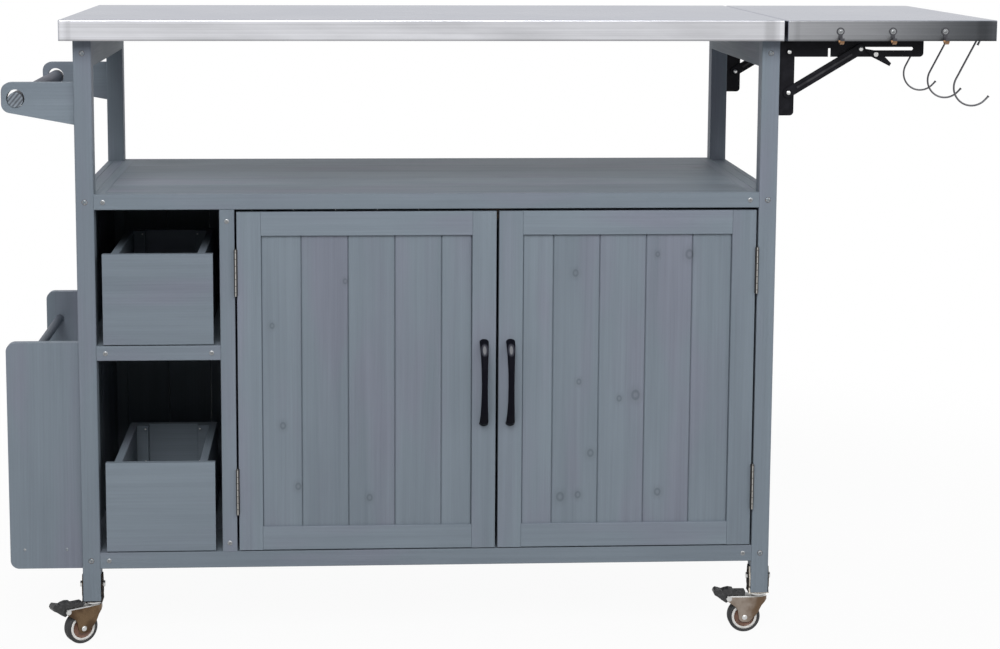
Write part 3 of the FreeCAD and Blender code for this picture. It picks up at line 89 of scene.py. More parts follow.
class Signal:
    """An output of a material's nodes, with the arithmetic of a number."""

    def __init__(self, nodes: "Nodes", socket: bpy.types.NodeSocket) -> None:
        """Wraps a socket of a node tree.

        Args:
            nodes: the tree that the socket is in.
            socket: the output.
        """
        self.nodes = nodes
        self.socket = socket

    def through(self, operation: str, *others: "Signal | float") -> "Signal":
        """This and others through one Math node."""
        return self.nodes.number(operation, self, *others)

    __add__ = __radd__ = functools.partialmethod(through, "ADD")
    __mul__ = __rmul__ = functools.partialmethod(through, "MULTIPLY")
    __sub__ = functools.partialmethod(through, "SUBTRACT")
    __truediv__ = functools.partialmethod(through, "DIVIDE")
    __pow__ = functools.partialmethod(through, "POWER")
    least = functools.partialmethod(through, "MINIMUM")
    most = functools.partialmethod(through, "MAXIMUM")
    whole = functools.partialmethod(through, "FLOOR")
    fraction = functools.partialmethod(through, "FRACT")
    size = functools.partialmethod(through, "ABSOLUTE")

    def __rsub__(self, other: float) -> "Signal":
        """Difference from a number on the left."""
        return self.nodes.number("SUBTRACT", other, self)

    def length(self, other: "Signal") -> "Signal":
        """Distance from zero of the point whose coordinates are this and another."""
        return (self * self + other * other) ** 0.5

    def fade(self, low: float, high: float) -> "Signal":
        """A smooth step, from 0 at the low value to 1 at the high one.

        Args:
            low: where the step starts.
            high: where it ends; less than low for a falling step.

        Returns:
            The step.
        """
        rising = high > low
        ends = {"From Min": min(low, high), "From Max": max(low, high),
                "To Min": 0.0 if rising else 1.0, "To Max": 1.0 if rising else 0.0}
        return self.nodes.add("ShaderNodeMapRange", {"interpolation_type": "SMOOTHSTEP"},
                              {"Value": self, **ends})


@dataclass(frozen=True)
class Layer:
    """Noise drawn out along an axis: its scales along and across it, its detail, and how much it counts."""

    along: float
    across: float
    detail: float = 3.0
    share: float = 1.0


class Nodes:
    """A node tree, with one method that adds nodes to it."""

    def __init__(self, holder: bpy.types.Material | bpy.types.World) -> None:
        """Empties the tree of a material or a world.

        Args:
            holder: the material or world.
        """
        holder.use_nodes = True
        self.holder = holder
        self.tree = holder.node_tree
        self.tree.nodes.clear()

    @classmethod
    def named(cls, name: str) -> "Nodes":
        """The empty tree of a new material."""
        return cls(bpy.data.materials.new(name))

    def add(self, kind: str, settings: dict | None = None, inputs: dict | None = None,
            output: int | str = 0) -> Signal:
        """Adds one node.

        Args:
            kind: the node's type.
            settings: its settings, set before its inputs.
            inputs: a value or a signal for each input, by name or by number.
            output: which output to hand back.

        Returns:
            That output.
        """
        node = self.tree.nodes.new(kind)
        for name, value in (settings or {}).items():
            setattr(node, name, value)
        for key, value in (inputs or {}).items():
            if isinstance(value, Signal):
                self.tree.links.new(value.socket, node.inputs[key])
            else:
                node.inputs[key].default_value = value
        return Signal(self, node.outputs[output])

    def number(self, operation: str, *values: Signal | float) -> Signal:
        """One Math node on its values in order."""
        return self.add("ShaderNodeMath", {"operation": operation}, dict(enumerate(values)))

    @functools.cached_property
    def point(self) -> Signal:
        """The shaded point in the cart's frame."""
        return self.add("ShaderNodeTexCoord", output="Object")

    @functools.cached_property
    def place(self) -> tuple[Signal, Signal, Signal]:
        """The point's three coordinates."""
        return tuple(self.add("ShaderNodeSeparateXYZ", inputs={0: self.point}, output=i) for i in range(3))

    def vector(self, x: Signal | float, y: Signal | float, z: Signal | float) -> Signal:
        """A vector from three numbers."""
        return self.add("ShaderNodeCombineXYZ", inputs={0: x, 1: y, 2: z})

    def noise(self, point: Signal, detail: float, scale: float = 1.0) -> Signal:
        """Smooth noise from 0 to 1 at a point."""
        return self.add("ShaderNodeTexNoise", inputs={"Vector": point, "Scale": scale, "Detail": detail})

    def cloud(self, scale: float, detail: float = 3.0) -> Signal:
        """Smooth noise that is as coarse along each axis of the cart's frame."""
        return self.noise(self.point, detail, scale)

    def streaks(self, axis: Axis, layer: Layer, drift: Signal | float = 0.0) -> Signal:
        """Smooth noise from 0 to 1 drawn out along an axis, and moved along it by a drift."""
        first, second = (self.place[other.value] * layer.across for other in axis.others())
        along = self.place[axis.value] * layer.along + drift
        return self.noise(self.vector(along, first, second), layer.detail)

    def mix(self, share: Signal | float, first: Signal | Colour, second: Signal | Colour,
            blend: str = "MIX") -> Signal:
        """A colour between two, or one colour laid over another.

        Args:
            share: how much of the second colour shows.
            first: the colour at 0.
            second: the colour at 1.
            blend: the Mix node's blend type.

        Returns:
            The mixed colour.
        """
        colours = [value if isinstance(value, Signal) else (*value, 1.0) for value in (first, second)]
        return self.add("ShaderNodeMix", {"data_type": "RGBA", "blend_type": blend},
                        {0: share, 6: colours[0], 7: colours[1]}, output=2)

    def bump(self, height: Signal, strength: float, distance: float) -> Signal:
        """A bumped normal from a height."""
        return self.add("ShaderNodeBump", inputs={"Height": height, "Strength": strength,
                                                  "Distance": distance})

    def backdrop(self) -> Signal:
        """1 for what the camera sees directly, mirrored or through glass, and 0 for other light."""
        seen = [self.add("ShaderNodeLightPath", output=f"Is {ray} Ray")
                for ray in ("Camera", "Glossy", "Transmission")]
        return seen[0].most(seen[1]).most(seen[2])

    def finish(self, **inputs: "Signal | float | Colour") -> bpy.types.Material:
        """Ends the tree in one Principled surface.

        Args:
            inputs: the surface's inputs, with underscores for spaces.

        Returns:
            The material.
        """
        values = {}
        for name, value in inputs.items():
            values[name.replace("_", " ")] = (*value, 1.0) if isinstance(value, tuple) else value
        self.end(self.add("ShaderNodeBsdfPrincipled", inputs=values))
        return self.holder

    def end(self, surface: Signal, kind: str = "ShaderNodeOutputMaterial") -> None:
        """Leads a surface to the tree's output."""
        output = self.tree.nodes.new(kind)
        self.tree.links.new(surface.socket, output.inputs["Surface"])


class Finish(Protocol):
    """What a surface is made of."""

    def material(self) -> bpy.types.Material:
        """The finish as a new material."""


@functools.cache
def made(finish: Finish) -> bpy.types.Material:
    """A finish's material, which is made once."""
    return finish.material()


@dataclass(frozen=True)
class Boards:
    """How a row of boards divides a face: the axis across them, where one starts, and their pitch."""

    across: Axis
    start: float
    pitch: float

    @classmethod
    def over(cls, node: str, across: Axis, count: int) -> "Boards":
        """A CAD node's width as a number of equal boards."""
        low, high = (corner[across.value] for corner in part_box(node))
        return cls(across, low, (high - low) / count)


@dataclass(frozen=True)
class Knot:
    """A small knot on an upright board: its heart's place on X and Z, and its outer radius."""

    x: float
    z: float
    radius: float = 4.4 * MM


@dataclass(frozen=True)
class StainedTimber:
    """Fir under a blue-grey stain: faint growth rings, fibres, knots and a coat that drifts to violet."""

    grain: Axis
    seed: float
    boards: Boards | None = None
    # Scales both colours: a tone on some timbers, painted shade on those in shaded places.
    tone_and_painted_shade: float = 1.0
    light: Colour = (0.192, 0.230, 0.268)
    dark: Colour = (0.124, 0.149, 0.178)
    violet: Colour = (1.06, 0.93, 1.0)
    knot: Colour = (0.058, 0.070, 0.083)
    ring_pitch: float = 5.2 * MM
    pith_near: float = 30.0 * MM
    pith_reach: float = 90.0 * MM
    pith_spread: float = 160.0 * MM
    pith_slope: float = 0.03
    bend: float = 30.0 * MM
    swirl: float = 6.0 * MM
    wander: Layer = Layer(1.6, 7.0)
    fibre: Layer = Layer(9.0, 620.0, 2.0, 0.34)
    streak: Layer = Layer(2.0, 95.0, 3.0, 0.62)
    blotch: Layer = Layer(3.5, 13.0, 3.0, 0.66)
    knots: tuple[Knot, ...] = ()
    stray_knots: bool = False
    stray_pitch: float = 0.17
    stray_radius: float = 5.5 * MM
    variety: float = 0.30
    depth: float = 0.40
    warm: Layer = Layer(2.86, 13.0, 2.0, 0.65)
    bark_share: float = 0.34
    halo_share: float = 0.13

    def material(self) -> bpy.types.Material:
        """The finish as a material.

        Rings are the fraction of a point's distance from a pith line that lies beside the board, over
        the ring pitch. Each board has its own pith line, and noise and knots bend it.

        Returns:
            The material.
        """
        nodes = Nodes.named(f"stained_timber_{self.grain.name.lower()}_{self.seed:g}")
        along = nodes.place[self.grain.value]
        first, second = (nodes.place[axis.value] for axis in self.grain.others())
        chance = self.board_chance(nodes)
        drift = chance[2] * 9.0 + self.seed
        wander = nodes.streaks(self.grain, self.wander, drift) - 0.5
        away = self.knot_distance(nodes, drift)
        swirl = away.fade(3.6, 0.0) if away else 0.0
        sideways = first + (chance[0] - 0.5) * self.pith_spread + wander * self.bend + swirl * self.swirl
        behind = second + self.pith_near + chance[1] * self.pith_reach + wander * (self.bend * 0.4)
        distance = sideways.length(behind) + (chance[2] - 0.5) * along * self.pith_slope
        ring = (distance / self.ring_pitch).fraction()
        late = ring.fade(0.30, 0.97) * (1.0 - ring.fade(0.97, 1.0))
        layers = (self.fibre, self.streak, self.blotch)
        fibre, streak, blotch = noises = [nodes.streaks(self.grain, layer, drift) for layer in layers]
        tone = self.depth + late * 0.05 + (chance[0] - 0.5) * self.variety
        for noise, layer in zip(noises, layers):
            tone = tone + (noise - 0.5) * layer.share
        light, dark = (tuple(channel * self.tone_and_painted_shade for channel in end) for end in (self.light, self.dark))
        coat = nodes.mix(tone.least(1.0).most(0.0), light, dark)
        warm = nodes.streaks(self.grain, self.warm, drift * 1.3).fade(0.47, 0.68)
        coat = nodes.mix(warm * self.warm.share, coat, self.violet, "MULTIPLY")
        if away:
            bark = away.fade(1.25, 0.85) * (1.0 - away.fade(0.75, 0.30) * 0.85)
            halo = away.fade(2.8, 0.9)
            coat = nodes.mix(bark * self.bark_share + halo * self.halo_share, coat, self.knot)
        height = fibre * 0.5 + late * 0.4 + streak * 0.3
        return nodes.finish(Base_Color=coat, Roughness=0.50 + (fibre - 0.5) * 0.22 + blotch * 0.10,
                            Normal=nodes.bump(height, 0.30, 0.0004), Specular_IOR_Level=0.20)

    def board_chance(self, nodes: Nodes) -> list[Signal]:
        """Three random numbers for each board.

        Args:
            nodes: the tree.

        Returns:
            Numbers from 0 to 1 that stay the same over one board.
        """
        number: Signal | float = self.seed
        if self.boards is not None:
            across = nodes.place[self.boards.across.value] - self.boards.start
            number = (across / self.boards.pitch).whole() + self.seed * 7.0
        noise = nodes.add("ShaderNodeTexWhiteNoise", {"noise_dimensions": "1D"}, {"W": number},
                          output="Color")
        return [nodes.add("ShaderNodeSeparateColor", inputs={0: noise}, output=i) for i in range(3)]

    def knot_distance(self, nodes: Nodes, drift: Signal) -> Signal | None:
        """How far the nearest knot's heart is, in knot radii.

        Args:
            nodes: the tree.
            drift: moves the stray knots from board to board.

        Returns:
            The distance, or nothing where the timber is clear.
        """
        place = nodes.place
        found = [((place[0] - knot.x) / knot.radius).length((place[2] - knot.z) / (knot.radius * 1.25))
                 for knot in self.knots]
        if self.stray_knots:
            first, second = (place[axis.value] for axis in self.grain.others())
            point = nodes.vector(place[self.grain.value] * 0.8 + drift, first, second * 0.4)
            cell = nodes.add("ShaderNodeTexVoronoi", {"feature": "F1"},
                             {"Vector": point, "Scale": 1.0 / self.stray_pitch, "Randomness": 0.9},
                             output="Distance")
            found.append(cell * (self.stray_pitch / self.stray_radius))
        nearest = found[0] if found else None
        for other in found[1:]:
            nearest = nearest.least(other)
        return nearest


@dataclass(frozen=True)
class PaintedReflectionBand:
    """An upright band of painted reflection on a lip, darker or brighter: its middle, half width, gain."""

    x: float
    reach: float
    gain: float


@dataclass(frozen=True)
class BrushedSteel:
    """Stainless sheet brushed along X, with long fine scratches and streaks.

    The colour turns to the far one over the span on X: a painted reflection. Bands of painted reflection
    and patches vary it; a painted shade darkens the lip's lower edge and a painted highlight its upper one.
    """

    name: str
    colour: Colour = (0.60, 0.61, 0.63)
    # The far colour is a painted reflection.
    painted_far_reflection: Colour | None = None
    span: tuple[float, float] = (0.0, 1.0)
    roughness: float = 0.30
    scratch: Layer = Layer(3.0, 1500.0, 3.0, 0.16)
    streak: Layer = Layer(1.1, 330.0, 4.0)
    streaks: float = 0.28
    bands: tuple[PaintedReflectionBand, ...] = ()
    # The edges get a painted highlight above and a painted shade below.
    edges: tuple[float, float] | None = None
    painted_top_highlight: float = 0.22
    painted_bottom_shade: float = 0.45
    patches: float = 0.0

    def material(self) -> bpy.types.Material:
        """The finish as a material: noise drawn out along the brushing, and a tint from end to end.

        Returns:
            The material.
        """
        nodes = Nodes.named(self.name)
        place = nodes.place
        scratch = nodes.streaks(Axis.X, self.scratch)
        streak = nodes.streaks(Axis.X, self.streak)
        cloud = nodes.cloud(7.0)
        # Painted reflection: the colour darkens from the near end to the far one.
        colour = nodes.mix(place[0].fade(*self.span), self.colour, self.painted_far_reflection or self.colour)
        gain = 1.0 + (scratch - 0.5) * self.scratch.share + (streak - 0.5) * self.streaks
        slant = nodes.vector(place[0] * 7.0 + place[2] * 6.0, place[1] * 9.0, place[2] * 30.0)
        gain = gain + (nodes.noise(slant, 3.0) - 0.5) * self.patches
        # Painted reflection: each band brightens or darkens an upright stripe.
        for band in self.bands:
            gain = gain * (1.0 + (place[0] - band.x).size().fade(band.reach, band.reach * 0.3)
                           * (band.gain - 1.0))
        # Painted highlight along the upper edge and painted shade along the lower one.
        if self.edges is not None:
            low, high = self.edges
            gain = gain * (1.0 + (place[2] - high).fade(-3.0 * MM, 0.0) * self.painted_top_highlight)
            gain = gain * (1.0 - (place[2] - low).fade(4.0 * MM, 0.5 * MM) * self.painted_bottom_shade)
        colour = nodes.mix(1.0, colour, nodes.vector(gain, gain, gain), "MULTIPLY")
        return nodes.finish(Base_Color=colour, Metallic=1.0,
                            Roughness=self.roughness + (scratch - 0.5) * 0.22 + (cloud - 0.5) * 0.08,
                            Normal=nodes.bump(scratch, 0.10, 0.0001))


@dataclass(frozen=True)
class BrightSteel:
    """Polished or zinc-plated steel, faintly clouded."""

    name: str
    colour: Colour = (0.66, 0.66, 0.65)
    roughness: float = 0.20
    cloud_scale: float = 160.0
    dimming: float = 0.72

    def material(self) -> bpy.types.Material:
        """The finish as a material.

        Returns:
            The material.
        """
        nodes = Nodes.named(self.name)
        cloud = nodes.cloud(self.cloud_scale)
        dim = tuple(channel * self.dimming for channel in self.colour)
        colour = nodes.mix(cloud, self.colour, dim)
        return nodes.finish(Base_Color=colour, Metallic=1.0, Roughness=self.roughness + cloud * 0.16)


@dataclass(frozen=True)
class Coat:
    """A baked, painted or plated coat with a slight orange peel, worn in patches to a second colour."""

    name: str
    colour: Colour
    worn: Colour
    metallic: float = 0.0
    roughness: float = 0.35
    patch: float = 70.0
    sheen: float = 0.5
    wear: tuple[float, float] = (0.42, 0.66)
    peel: float = 900.0
    peel_detail: float = 2.0
    raised: float = 0.0
    bump: tuple[float, float] = (0.12, 0.2 * MM)

    def material(self) -> bpy.types.Material:
        """The finish as a material.

        Returns:
            The material.
        """
        nodes = Nodes.named(self.name)
        peel = nodes.cloud(self.peel, self.peel_detail)
        rub = nodes.cloud(self.patch, 4.0)
        colour = nodes.mix(rub.fade(*self.wear), self.colour, self.worn)
        return nodes.finish(Base_Color=colour, Metallic=self.metallic, Specular_IOR_Level=self.sheen,
                            Roughness=self.roughness + (rub - 0.5) * 0.2,
                            Normal=nodes.bump(peel + rub * self.raised, *self.bump))


@dataclass(frozen=True)
class Moulding(Coat):
    """Moulded plastic or rubber: a fine matt skin, with scuffs that stand up."""

    patch: float = 60.0
    wear: tuple[float, float] = (0.45, 0.75)
    peel: float = 1400.0
    peel_detail: float = 3.0
    raised: float = 1.0
    bump: tuple[float, float] = (0.25, 0.1 * MM)


@dataclass(frozen=True)
class PullCoat:
    """Gloss black on a cast pull, with a painted highlight on its upper shoulder: a pale ellipse in a grey
    rim.
    """

    name: str
    x: float
    z: float
    black: Colour = (0.0030, 0.0030, 0.0060)
    # Colours of the painted highlight: its grey rim and its pale centre.
    ring: Colour = (0.030, 0.031, 0.042)
    painted_highlight: Colour = (0.150, 0.152, 0.165)
    highlight_rim_reach: tuple[float, float] = (6.0 * MM, 9.4 * MM)
    painted_highlight_reach: tuple[float, float] = (3.0 * MM, 6.5 * MM)

    def material(self) -> bpy.types.Material:
        """The finish as a material: a painted highlight of two ellipses, each where the scaled distance
        from its heart is under 1.

        Returns:
            The material.
        """
        nodes = Nodes.named(self.name)
        place = nodes.place
        across, up = place[0] - self.x, place[2] - self.z
        # Painted highlight: two ellipses round one heart on the upper shoulder.
        ring = (across / self.highlight_rim_reach[0]).length(up / self.highlight_rim_reach[1]).fade(1.05, 0.80)
        painted_highlight = (across / self.painted_highlight_reach[0]).length(up / self.painted_highlight_reach[1]).fade(1.10, 0.70)
        colour = nodes.mix(ring, self.black, self.ring)
        colour = nodes.mix(painted_highlight, colour, self.painted_highlight)
        grain = nodes.cloud(300.0, 2.0)
        return nodes.finish(Base_Color=colour, Roughness=0.40 - ring * 0.15, Specular_IOR_Level=0.05,
                            Normal=nodes.bump(grain, 0.10, 0.0002))


@dataclass(frozen=True)
class HingeSteel:
    """Hinge steel darkened as painted shade, with a painted highlight down the middle of its knuckles and a
    dark line at each joint.
    """

    name: str
    middles: tuple[float, ...]
    painted_gap_shade: Colour = (0.040, 0.038, 0.036)
    # The painted highlight's colour.
    bright: Colour = (0.46, 0.45, 0.43)
    painted_highlight_width: float = 1.1 * MM
    knuckle: float = 10.2 * MM

    def material(self) -> bpy.types.Material:
        """The finish as a material, from the distance to the nearest knuckle line and along it.

        Returns:
            The material.
        """
        nodes = Nodes.named(self.name)
        place = nodes.place
        away = (place[0] - self.middles[0]).size()
        for middle in self.middles[1:]:
            away = away.least((place[0] - middle).size())
        joint = ((place[2] / self.knuckle).fraction() - 0.5).size()
        # Noise mottles the painted highlight and the roughness.
        wear = nodes.cloud(500.0)
        # Painted highlight near each knuckle line, over the painted shade, broken at the dark joints.
        share = away.fade(self.painted_highlight_width, self.painted_highlight_width * 0.3) * (0.55 + wear * 0.6) * joint.fade(0.02, 0.07)
        return nodes.finish(Base_Color=nodes.mix(share, self.painted_gap_shade, self.bright), Metallic=0.7,
                            Roughness=0.38 + wear * 0.15)


@dataclass(frozen=True)
class SawnEnd:
    """The end grain of a stained rod, with the saw's slanting lines."""

    name: str
    light: Colour = (0.200, 0.232, 0.268)
    dark: Colour = (0.042, 0.048, 0.060)
    pitch: float = 5.0 * MM
    slope: float = math.radians(50.0)

    def material(self) -> bpy.types.Material:
        """The finish as a material: the fraction of the height over slanting lines, over their pitch.

        Returns:
            The material.
        """
        nodes = Nodes.named(self.name)
        place = nodes.place
        rough = nodes.cloud(420.0)
        over = place[0] * math.sin(self.slope) - place[2] * math.cos(self.slope) + rough * 0.8 * MM
        cut = ((over / self.pitch).fraction() - 0.5).size() * 2.0
        share = cut.fade(0.15, 0.85) * 0.75 + (nodes.cloud(140.0, 2.0) - 0.5) * 0.6 + 0.12
        return nodes.finish(Base_Color=nodes.mix(share.least(1.0).most(0.0), self.light, self.dark),
                            Roughness=0.6, Normal=nodes.bump(cut + rough, 0.4, 0.0003))


WORKTOP_STEEL = BrushedSteel("brushed_worktop", (0.305, 0.322, 0.386), streaks=0.10)
ZINC = BrightSteel("zinc_plate")
# The plates' grey, darkened so the rim round each washer reads as shade: partly painted shade.
PLATE_GREY_AND_PAINTED_SHADE = BrightSteel("grey_plate", (0.085, 0.085, 0.095), 0.25)
SCREW_STEEL = BrightSteel("screw_steel", (0.31, 0.32, 0.33), 0.32, 900.0)
WIRE = BrightSteel("polished_wire", (0.13, 0.13, 0.14), 0.20, 30.0)
# Light cut steel for a painted highlight on the right strap's edges.
CUT_EDGE_PAINTED_HIGHLIGHT = BrightSteel("cut_steel_edge", (0.50, 0.46, 0.40), 0.40)
# Brown on the plates' hooked feet stands for the floor they reflect: painted reflection.
FOOT_PAINTED_REFLECTION = BrightSteel("bronze_foot", (0.30, 0.17, 0.09), 0.25)
BLACK = Coat("black_coat", (0.0045, 0.0045, 0.0065), (0.009, 0.009, 0.012), 0.0, 0.45, sheen=0.10)
# A lighter black for the struts' front faces.
LIGHTER_STRUT_FACE = Coat("lighter_strut_face", (0.012, 0.012, 0.015), (0.030, 0.030, 0.034), 0.0, 0.40, sheen=0.25)
STRAP = Coat("black_brown_strap", (0.010, 0.008, 0.007), (0.050, 0.035, 0.022), 0.0, 0.75, 140.0, 0.04)
# White nail heads stand for their glints: painted highlight.
NAIL_PAINTED_GLINT = Coat("nail_painted_glint", (0.80, 0.80, 0.80), (0.60, 0.60, 0.60))
TAUPE_FORK = Coat("taupe_plate", (0.29, 0.246, 0.210), (0.130, 0.086, 0.055), 0.9, 0.30, 26.0)
# A darker copy of the taupe fork plating, for the left castors: painted shade.
FORK_PAINTED_SHADE = Coat("fork_plate_painted_shade", (0.150, 0.098, 0.056), (0.070, 0.042, 0.024), 0.9, 0.28, 34.0)
PAINTED = Coat("painted_screw", (0.150, 0.182, 0.212), (0.34, 0.34, 0.34), 0.3, patch=420.0)
RUST = Coat("screw_stain", (0.035, 0.034, 0.036), (0.13, 0.075, 0.045), patch=260.0)
RUBBER = Moulding("tyre_rubber", (0.018, 0.018, 0.019), (0.040, 0.040, 0.042), roughness=0.70)
PEDAL = Moulding("black_pedal", (0.014, 0.014, 0.015), (0.050, 0.050, 0.052), 0.0, 0.45, 240.0)
HUB = Moulding("brown_hub", (0.165, 0.080, 0.052), (0.060, 0.034, 0.022), 0.0, 0.42, 130.0)
RIM = Moulding("grey_rim", (0.66, 0.65, 0.63), (0.50, 0.49, 0.47), roughness=0.45)
CATCH = Moulding("brown_catch", (0.10, 0.06, 0.035), (0.16, 0.10, 0.06), roughness=0.5)


def dress(node: str, *finishes: Finish, choose: Chooser | None = None) -> None:
    """Gives a CAD node its finishes, one for each stretch of its faces.

    Args:
        node: the node's name.
        finishes: its finishes.
        choose: takes the faces' centres and normals and gives each face's finish by number; the first
            throughout if left out.
    """
    mesh = frame["nodes"][node].data
    mesh.materials.clear()
    for finish in finishes:
        mesh.materials.append(made(finish))
    numbers = np.zeros(len(mesh.polygons), dtype=np.int32)
    if choose is not None:
        centres, normals = (read_flat(mesh.polygons, name) for name in ("center", "normal"))
        numbers = choose(centres, normals).astype(np.int32)
    mesh.polygons.foreach_set("material_index", numbers)
    mesh.update()
    LOG.info("dressed %s", node)


def read_flat(items: bpy.types.bpy_prop_collection, name: str) -> np.ndarray:
    """One vector of each of a mesh's items.

    Args:
        items: its vertices or faces.
        name: the vector's name.

    Returns:
        Items by 3.
    """
    flat = np.empty(len(items) * 3, dtype=np.float32)
    items.foreach_get(name, flat)
    return flat.reshape(-1, 3)


def pin(name: str) -> np.ndarray:
    """A joint's place at rest."""
    return np.array(JOINTS[name]["pos_m"])


def clusters(node: str, reach: float) -> list[tuple[np.ndarray, np.ndarray]]:
    """The boxes of a node's separate pieces, where each is smaller than the space between them.

    Args:
        node: the node's name.
        reach: more than a piece's size, and less than the space to the next one.

    Returns:
        For each piece, its lowest and highest corner.
    """
    left = read_flat(frame["nodes"][node].data.vertices, "co").astype(float)
    found = []
    while len(left):
        near = np.linalg.norm(left - left[0], axis=1) < reach
        found.append((left[near].min(axis=0), left[near].max(axis=0)))
        left = left[~near]
    return found


def grid_form(points: np.ndarray, closed_rows: bool = False, closed_columns: bool = True) -> Form:
    """Faces over a grid of points; where the columns close and the rows don't, both ends are filled.

    Args:
        points: rows by columns by 3.
        closed_rows: whether the last row joins the first.
        closed_columns: whether the last column joins the first.

    Returns:
        The corners and the faces.
    """
    rows, columns = points.shape[:2]
    down = np.arange(rows if closed_rows else rows - 1)[:, None]
    across = np.arange(columns if closed_columns else columns - 1)[None, :]
    next_down, next_across = (down + 1) % rows, (across + 1) % columns
    quads = np.stack([down * columns + across, down * columns + next_across,
                      next_down * columns + next_across, next_down * columns + across], axis=-1)
    faces = quads.reshape(-1, 4).tolist()
    if closed_columns and not closed_rows:
        faces.append(list(range(columns))[::-1])
        faces.append(list(range((rows - 1) * columns, rows * columns)))
    return points.reshape(-1, 3), faces


def add_object(name: str, forms: Sequence[Form], material: bpy.types.Material) -> bpy.types.Object:
    """Puts forms in the scene as one smooth object.

    Args:
        name: its name.
        forms: its parts, in place.
        material: its material.

    Returns:
        The object.
    """
    faces, start = [], 0
    for corners, form_faces in forms:
        faces.extend([start + corner for corner in face] for face in form_faces)
        start += len(corners)
    mesh = bpy.data.meshes.new(name)
    mesh.from_pydata(np.concatenate([corners for corners, _ in forms]).tolist(), [], faces)
    mesh.polygons.foreach_set("use_smooth", [True] * len(mesh.polygons))
    mesh.materials.append(material)
    added = bpy.data.objects.new(name, mesh)
    bpy.context.scene.collection.objects.link(added)
    return added


def add_piece(name: str, forms: Sequence[Form], finish: Finish, body: str,
              replaced: Sequence[str] = ()) -> None:
    """Puts forms in the scene as one piece of the cart.

    Args:
        name: the piece's name.
        forms: its parts, in place in the cart's frame.
        finish: its finish.
        body: the CAD body that it rides on.
        replaced: the CAD nodes that it stands for.
    """
    piece = add_object(name, forms, made(finish))
    mark_sharp_edges(piece)
    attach(piece, body)
    if replaced:
        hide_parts(*replaced)
    LOG.info("made %s: %d faces on %s", name, len(piece.data.polygons), body)


def mark_sharp_edges(piece: bpy.types.Object, angle: float = math.radians(35.0)) -> None:
    """Turns a mesh's faces outwards, and keeps edges crisp where two faces meet at more than an angle.

    Args:
        piece: the piece.
        angle: the largest turn that still looks smooth.
    """
    shell = bmesh.new()
    shell.from_mesh(piece.data)
    bmesh.ops.recalc_face_normals(shell, faces=shell.faces)
    shell.to_mesh(piece.data)
    shell.free()
    piece.data.set_sharp_from_angle(angle=angle)


def frame_about(axis: np.ndarray) -> tuple[np.ndarray, np.ndarray]:
    """Two unit vectors square to an axis and to each other.

    Args:
        axis: a unit vector.

    Returns:
        The two vectors, right-handed with the axis.
    """
    helper = Axis.Z.unit() if abs(axis[2]) < 0.9 else Axis.X.unit()
    first = np.cross(helper, axis)
    first /= np.linalg.norm(first)
    return first, np.cross(axis, first)


def turned(centre: np.ndarray, axis: np.ndarray, profile: Profile, segments: int = 32,
           ring: bool = True) -> Form:
    """A turned form: a point of the profile at distance r is centre + axis*a + r*(u cos t + v sin t).

    Args:
        centre: where the profile's zero lies.
        axis: the unit axis.
        profile: distances along the axis and radii.
        segments: how many steps the turn has.
        ring: whether the profile's last point joins its first; its ends are filled otherwise.

    Returns:
        The form.
    """
    first, second = frame_about(axis)
    along, radii = np.array(profile, dtype=float).T
    turn = np.linspace(0.0, math.tau, segments, endpoint=False)
    around = np.cos(turn)[:, None] * first + np.sin(turn)[:, None] * second
    return grid_form(centre + along[:, None, None] * axis + radii[:, None, None] * around[None], ring)


def dome(seat: np.ndarray, axis: np.ndarray, radius: float, height: float) -> Form:
    """A domed rivet or nail head: at angle t it stands h sin t over its seat, r cos t from its axis.

    Args:
        seat: the middle of its underside.
        axis: the way it faces.
        radius: its radius.
        height: its height.

    Returns:
        The form.
    """
    turn = np.linspace(0.0, math.radians(88.0), 7)
    profile = np.stack([height * np.sin(turn), radius * np.cos(turn)], axis=1)
    return turned(seat, axis, [(-SLACK, radius), *map(tuple, profile)], 24, ring=False)


def tube(path: np.ndarray, sideways: np.ndarray, radii: np.ndarray, segments: int = 16) -> Form:
    """A round wire: each ring is path + r*(u cos t + v sin t), with u sideways and v square to it.

    Args:
        path: the wire's middle line.
        sideways: for each of its points, a unit vector square to the line.
        radii: the wire's radius at each point.
        segments: how many steps the section has.

    Returns:
        The form.
    """
    ahead = np.gradient(path, axis=0)
    ahead /= np.linalg.norm(ahead, axis=1, keepdims=True)
    upward = np.cross(ahead, sideways)
    turn = np.linspace(0.0, math.tau, segments, endpoint=False)
    around = np.cos(turn)[None, :, None] * sideways[:, None] + np.sin(turn)[None, :, None] * upward[:, None]
    return grid_form(path[:, None] + radii[:, None, None] * around)


@dataclass(frozen=True)
class ScrewHead:
    """A pan-head screw with a cross recess."""

    radius: float = 3.6 * MM
    height: float = 1.1 * MM
    recess_width: float = 0.9 * MM
    recess_reach: float = 2.2 * MM
    recess_depth: float = 0.8 * MM
    rings: int = 12
    segments: int = 32

    def form(self, seat: np.ndarray, axis: np.ndarray, turn: float) -> Form:
        """A head on its seat: a dome h(1 - 0.6 (r/R)^4), cut down where the cross lies.

        Args:
            seat: the middle of the head's underside.
            axis: the way the head faces.
            turn: how far the cross is turned.

        Returns:
            The form.
        """
        first, second = frame_about(axis)
        radii = np.append(np.linspace(1e-5, self.radius, self.rings), self.radius)
        angles = np.linspace(0.0, math.tau, self.segments, endpoint=False)
        across = radii[:, None] * np.cos(angles)
        up = radii[:, None] * np.sin(angles)
        height = self.height * (1.0 - (radii / self.radius) ** 4 * 0.6)[:, None] * np.ones_like(across)
        height[-1] = 0.0
        spun_across = across * math.cos(turn) + up * math.sin(turn)
        spun_up = up * math.cos(turn) - across * math.sin(turn)
        near_line = np.minimum(np.abs(spun_across), np.abs(spun_up)) < self.recess_width / 2
        within = radii[:, None] < self.recess_reach
        height = np.where(near_line & within, height - self.recess_depth, height)
        points = seat + across[..., None] * first + up[..., None] * second + height[..., None] * axis
        return grid_form(points)


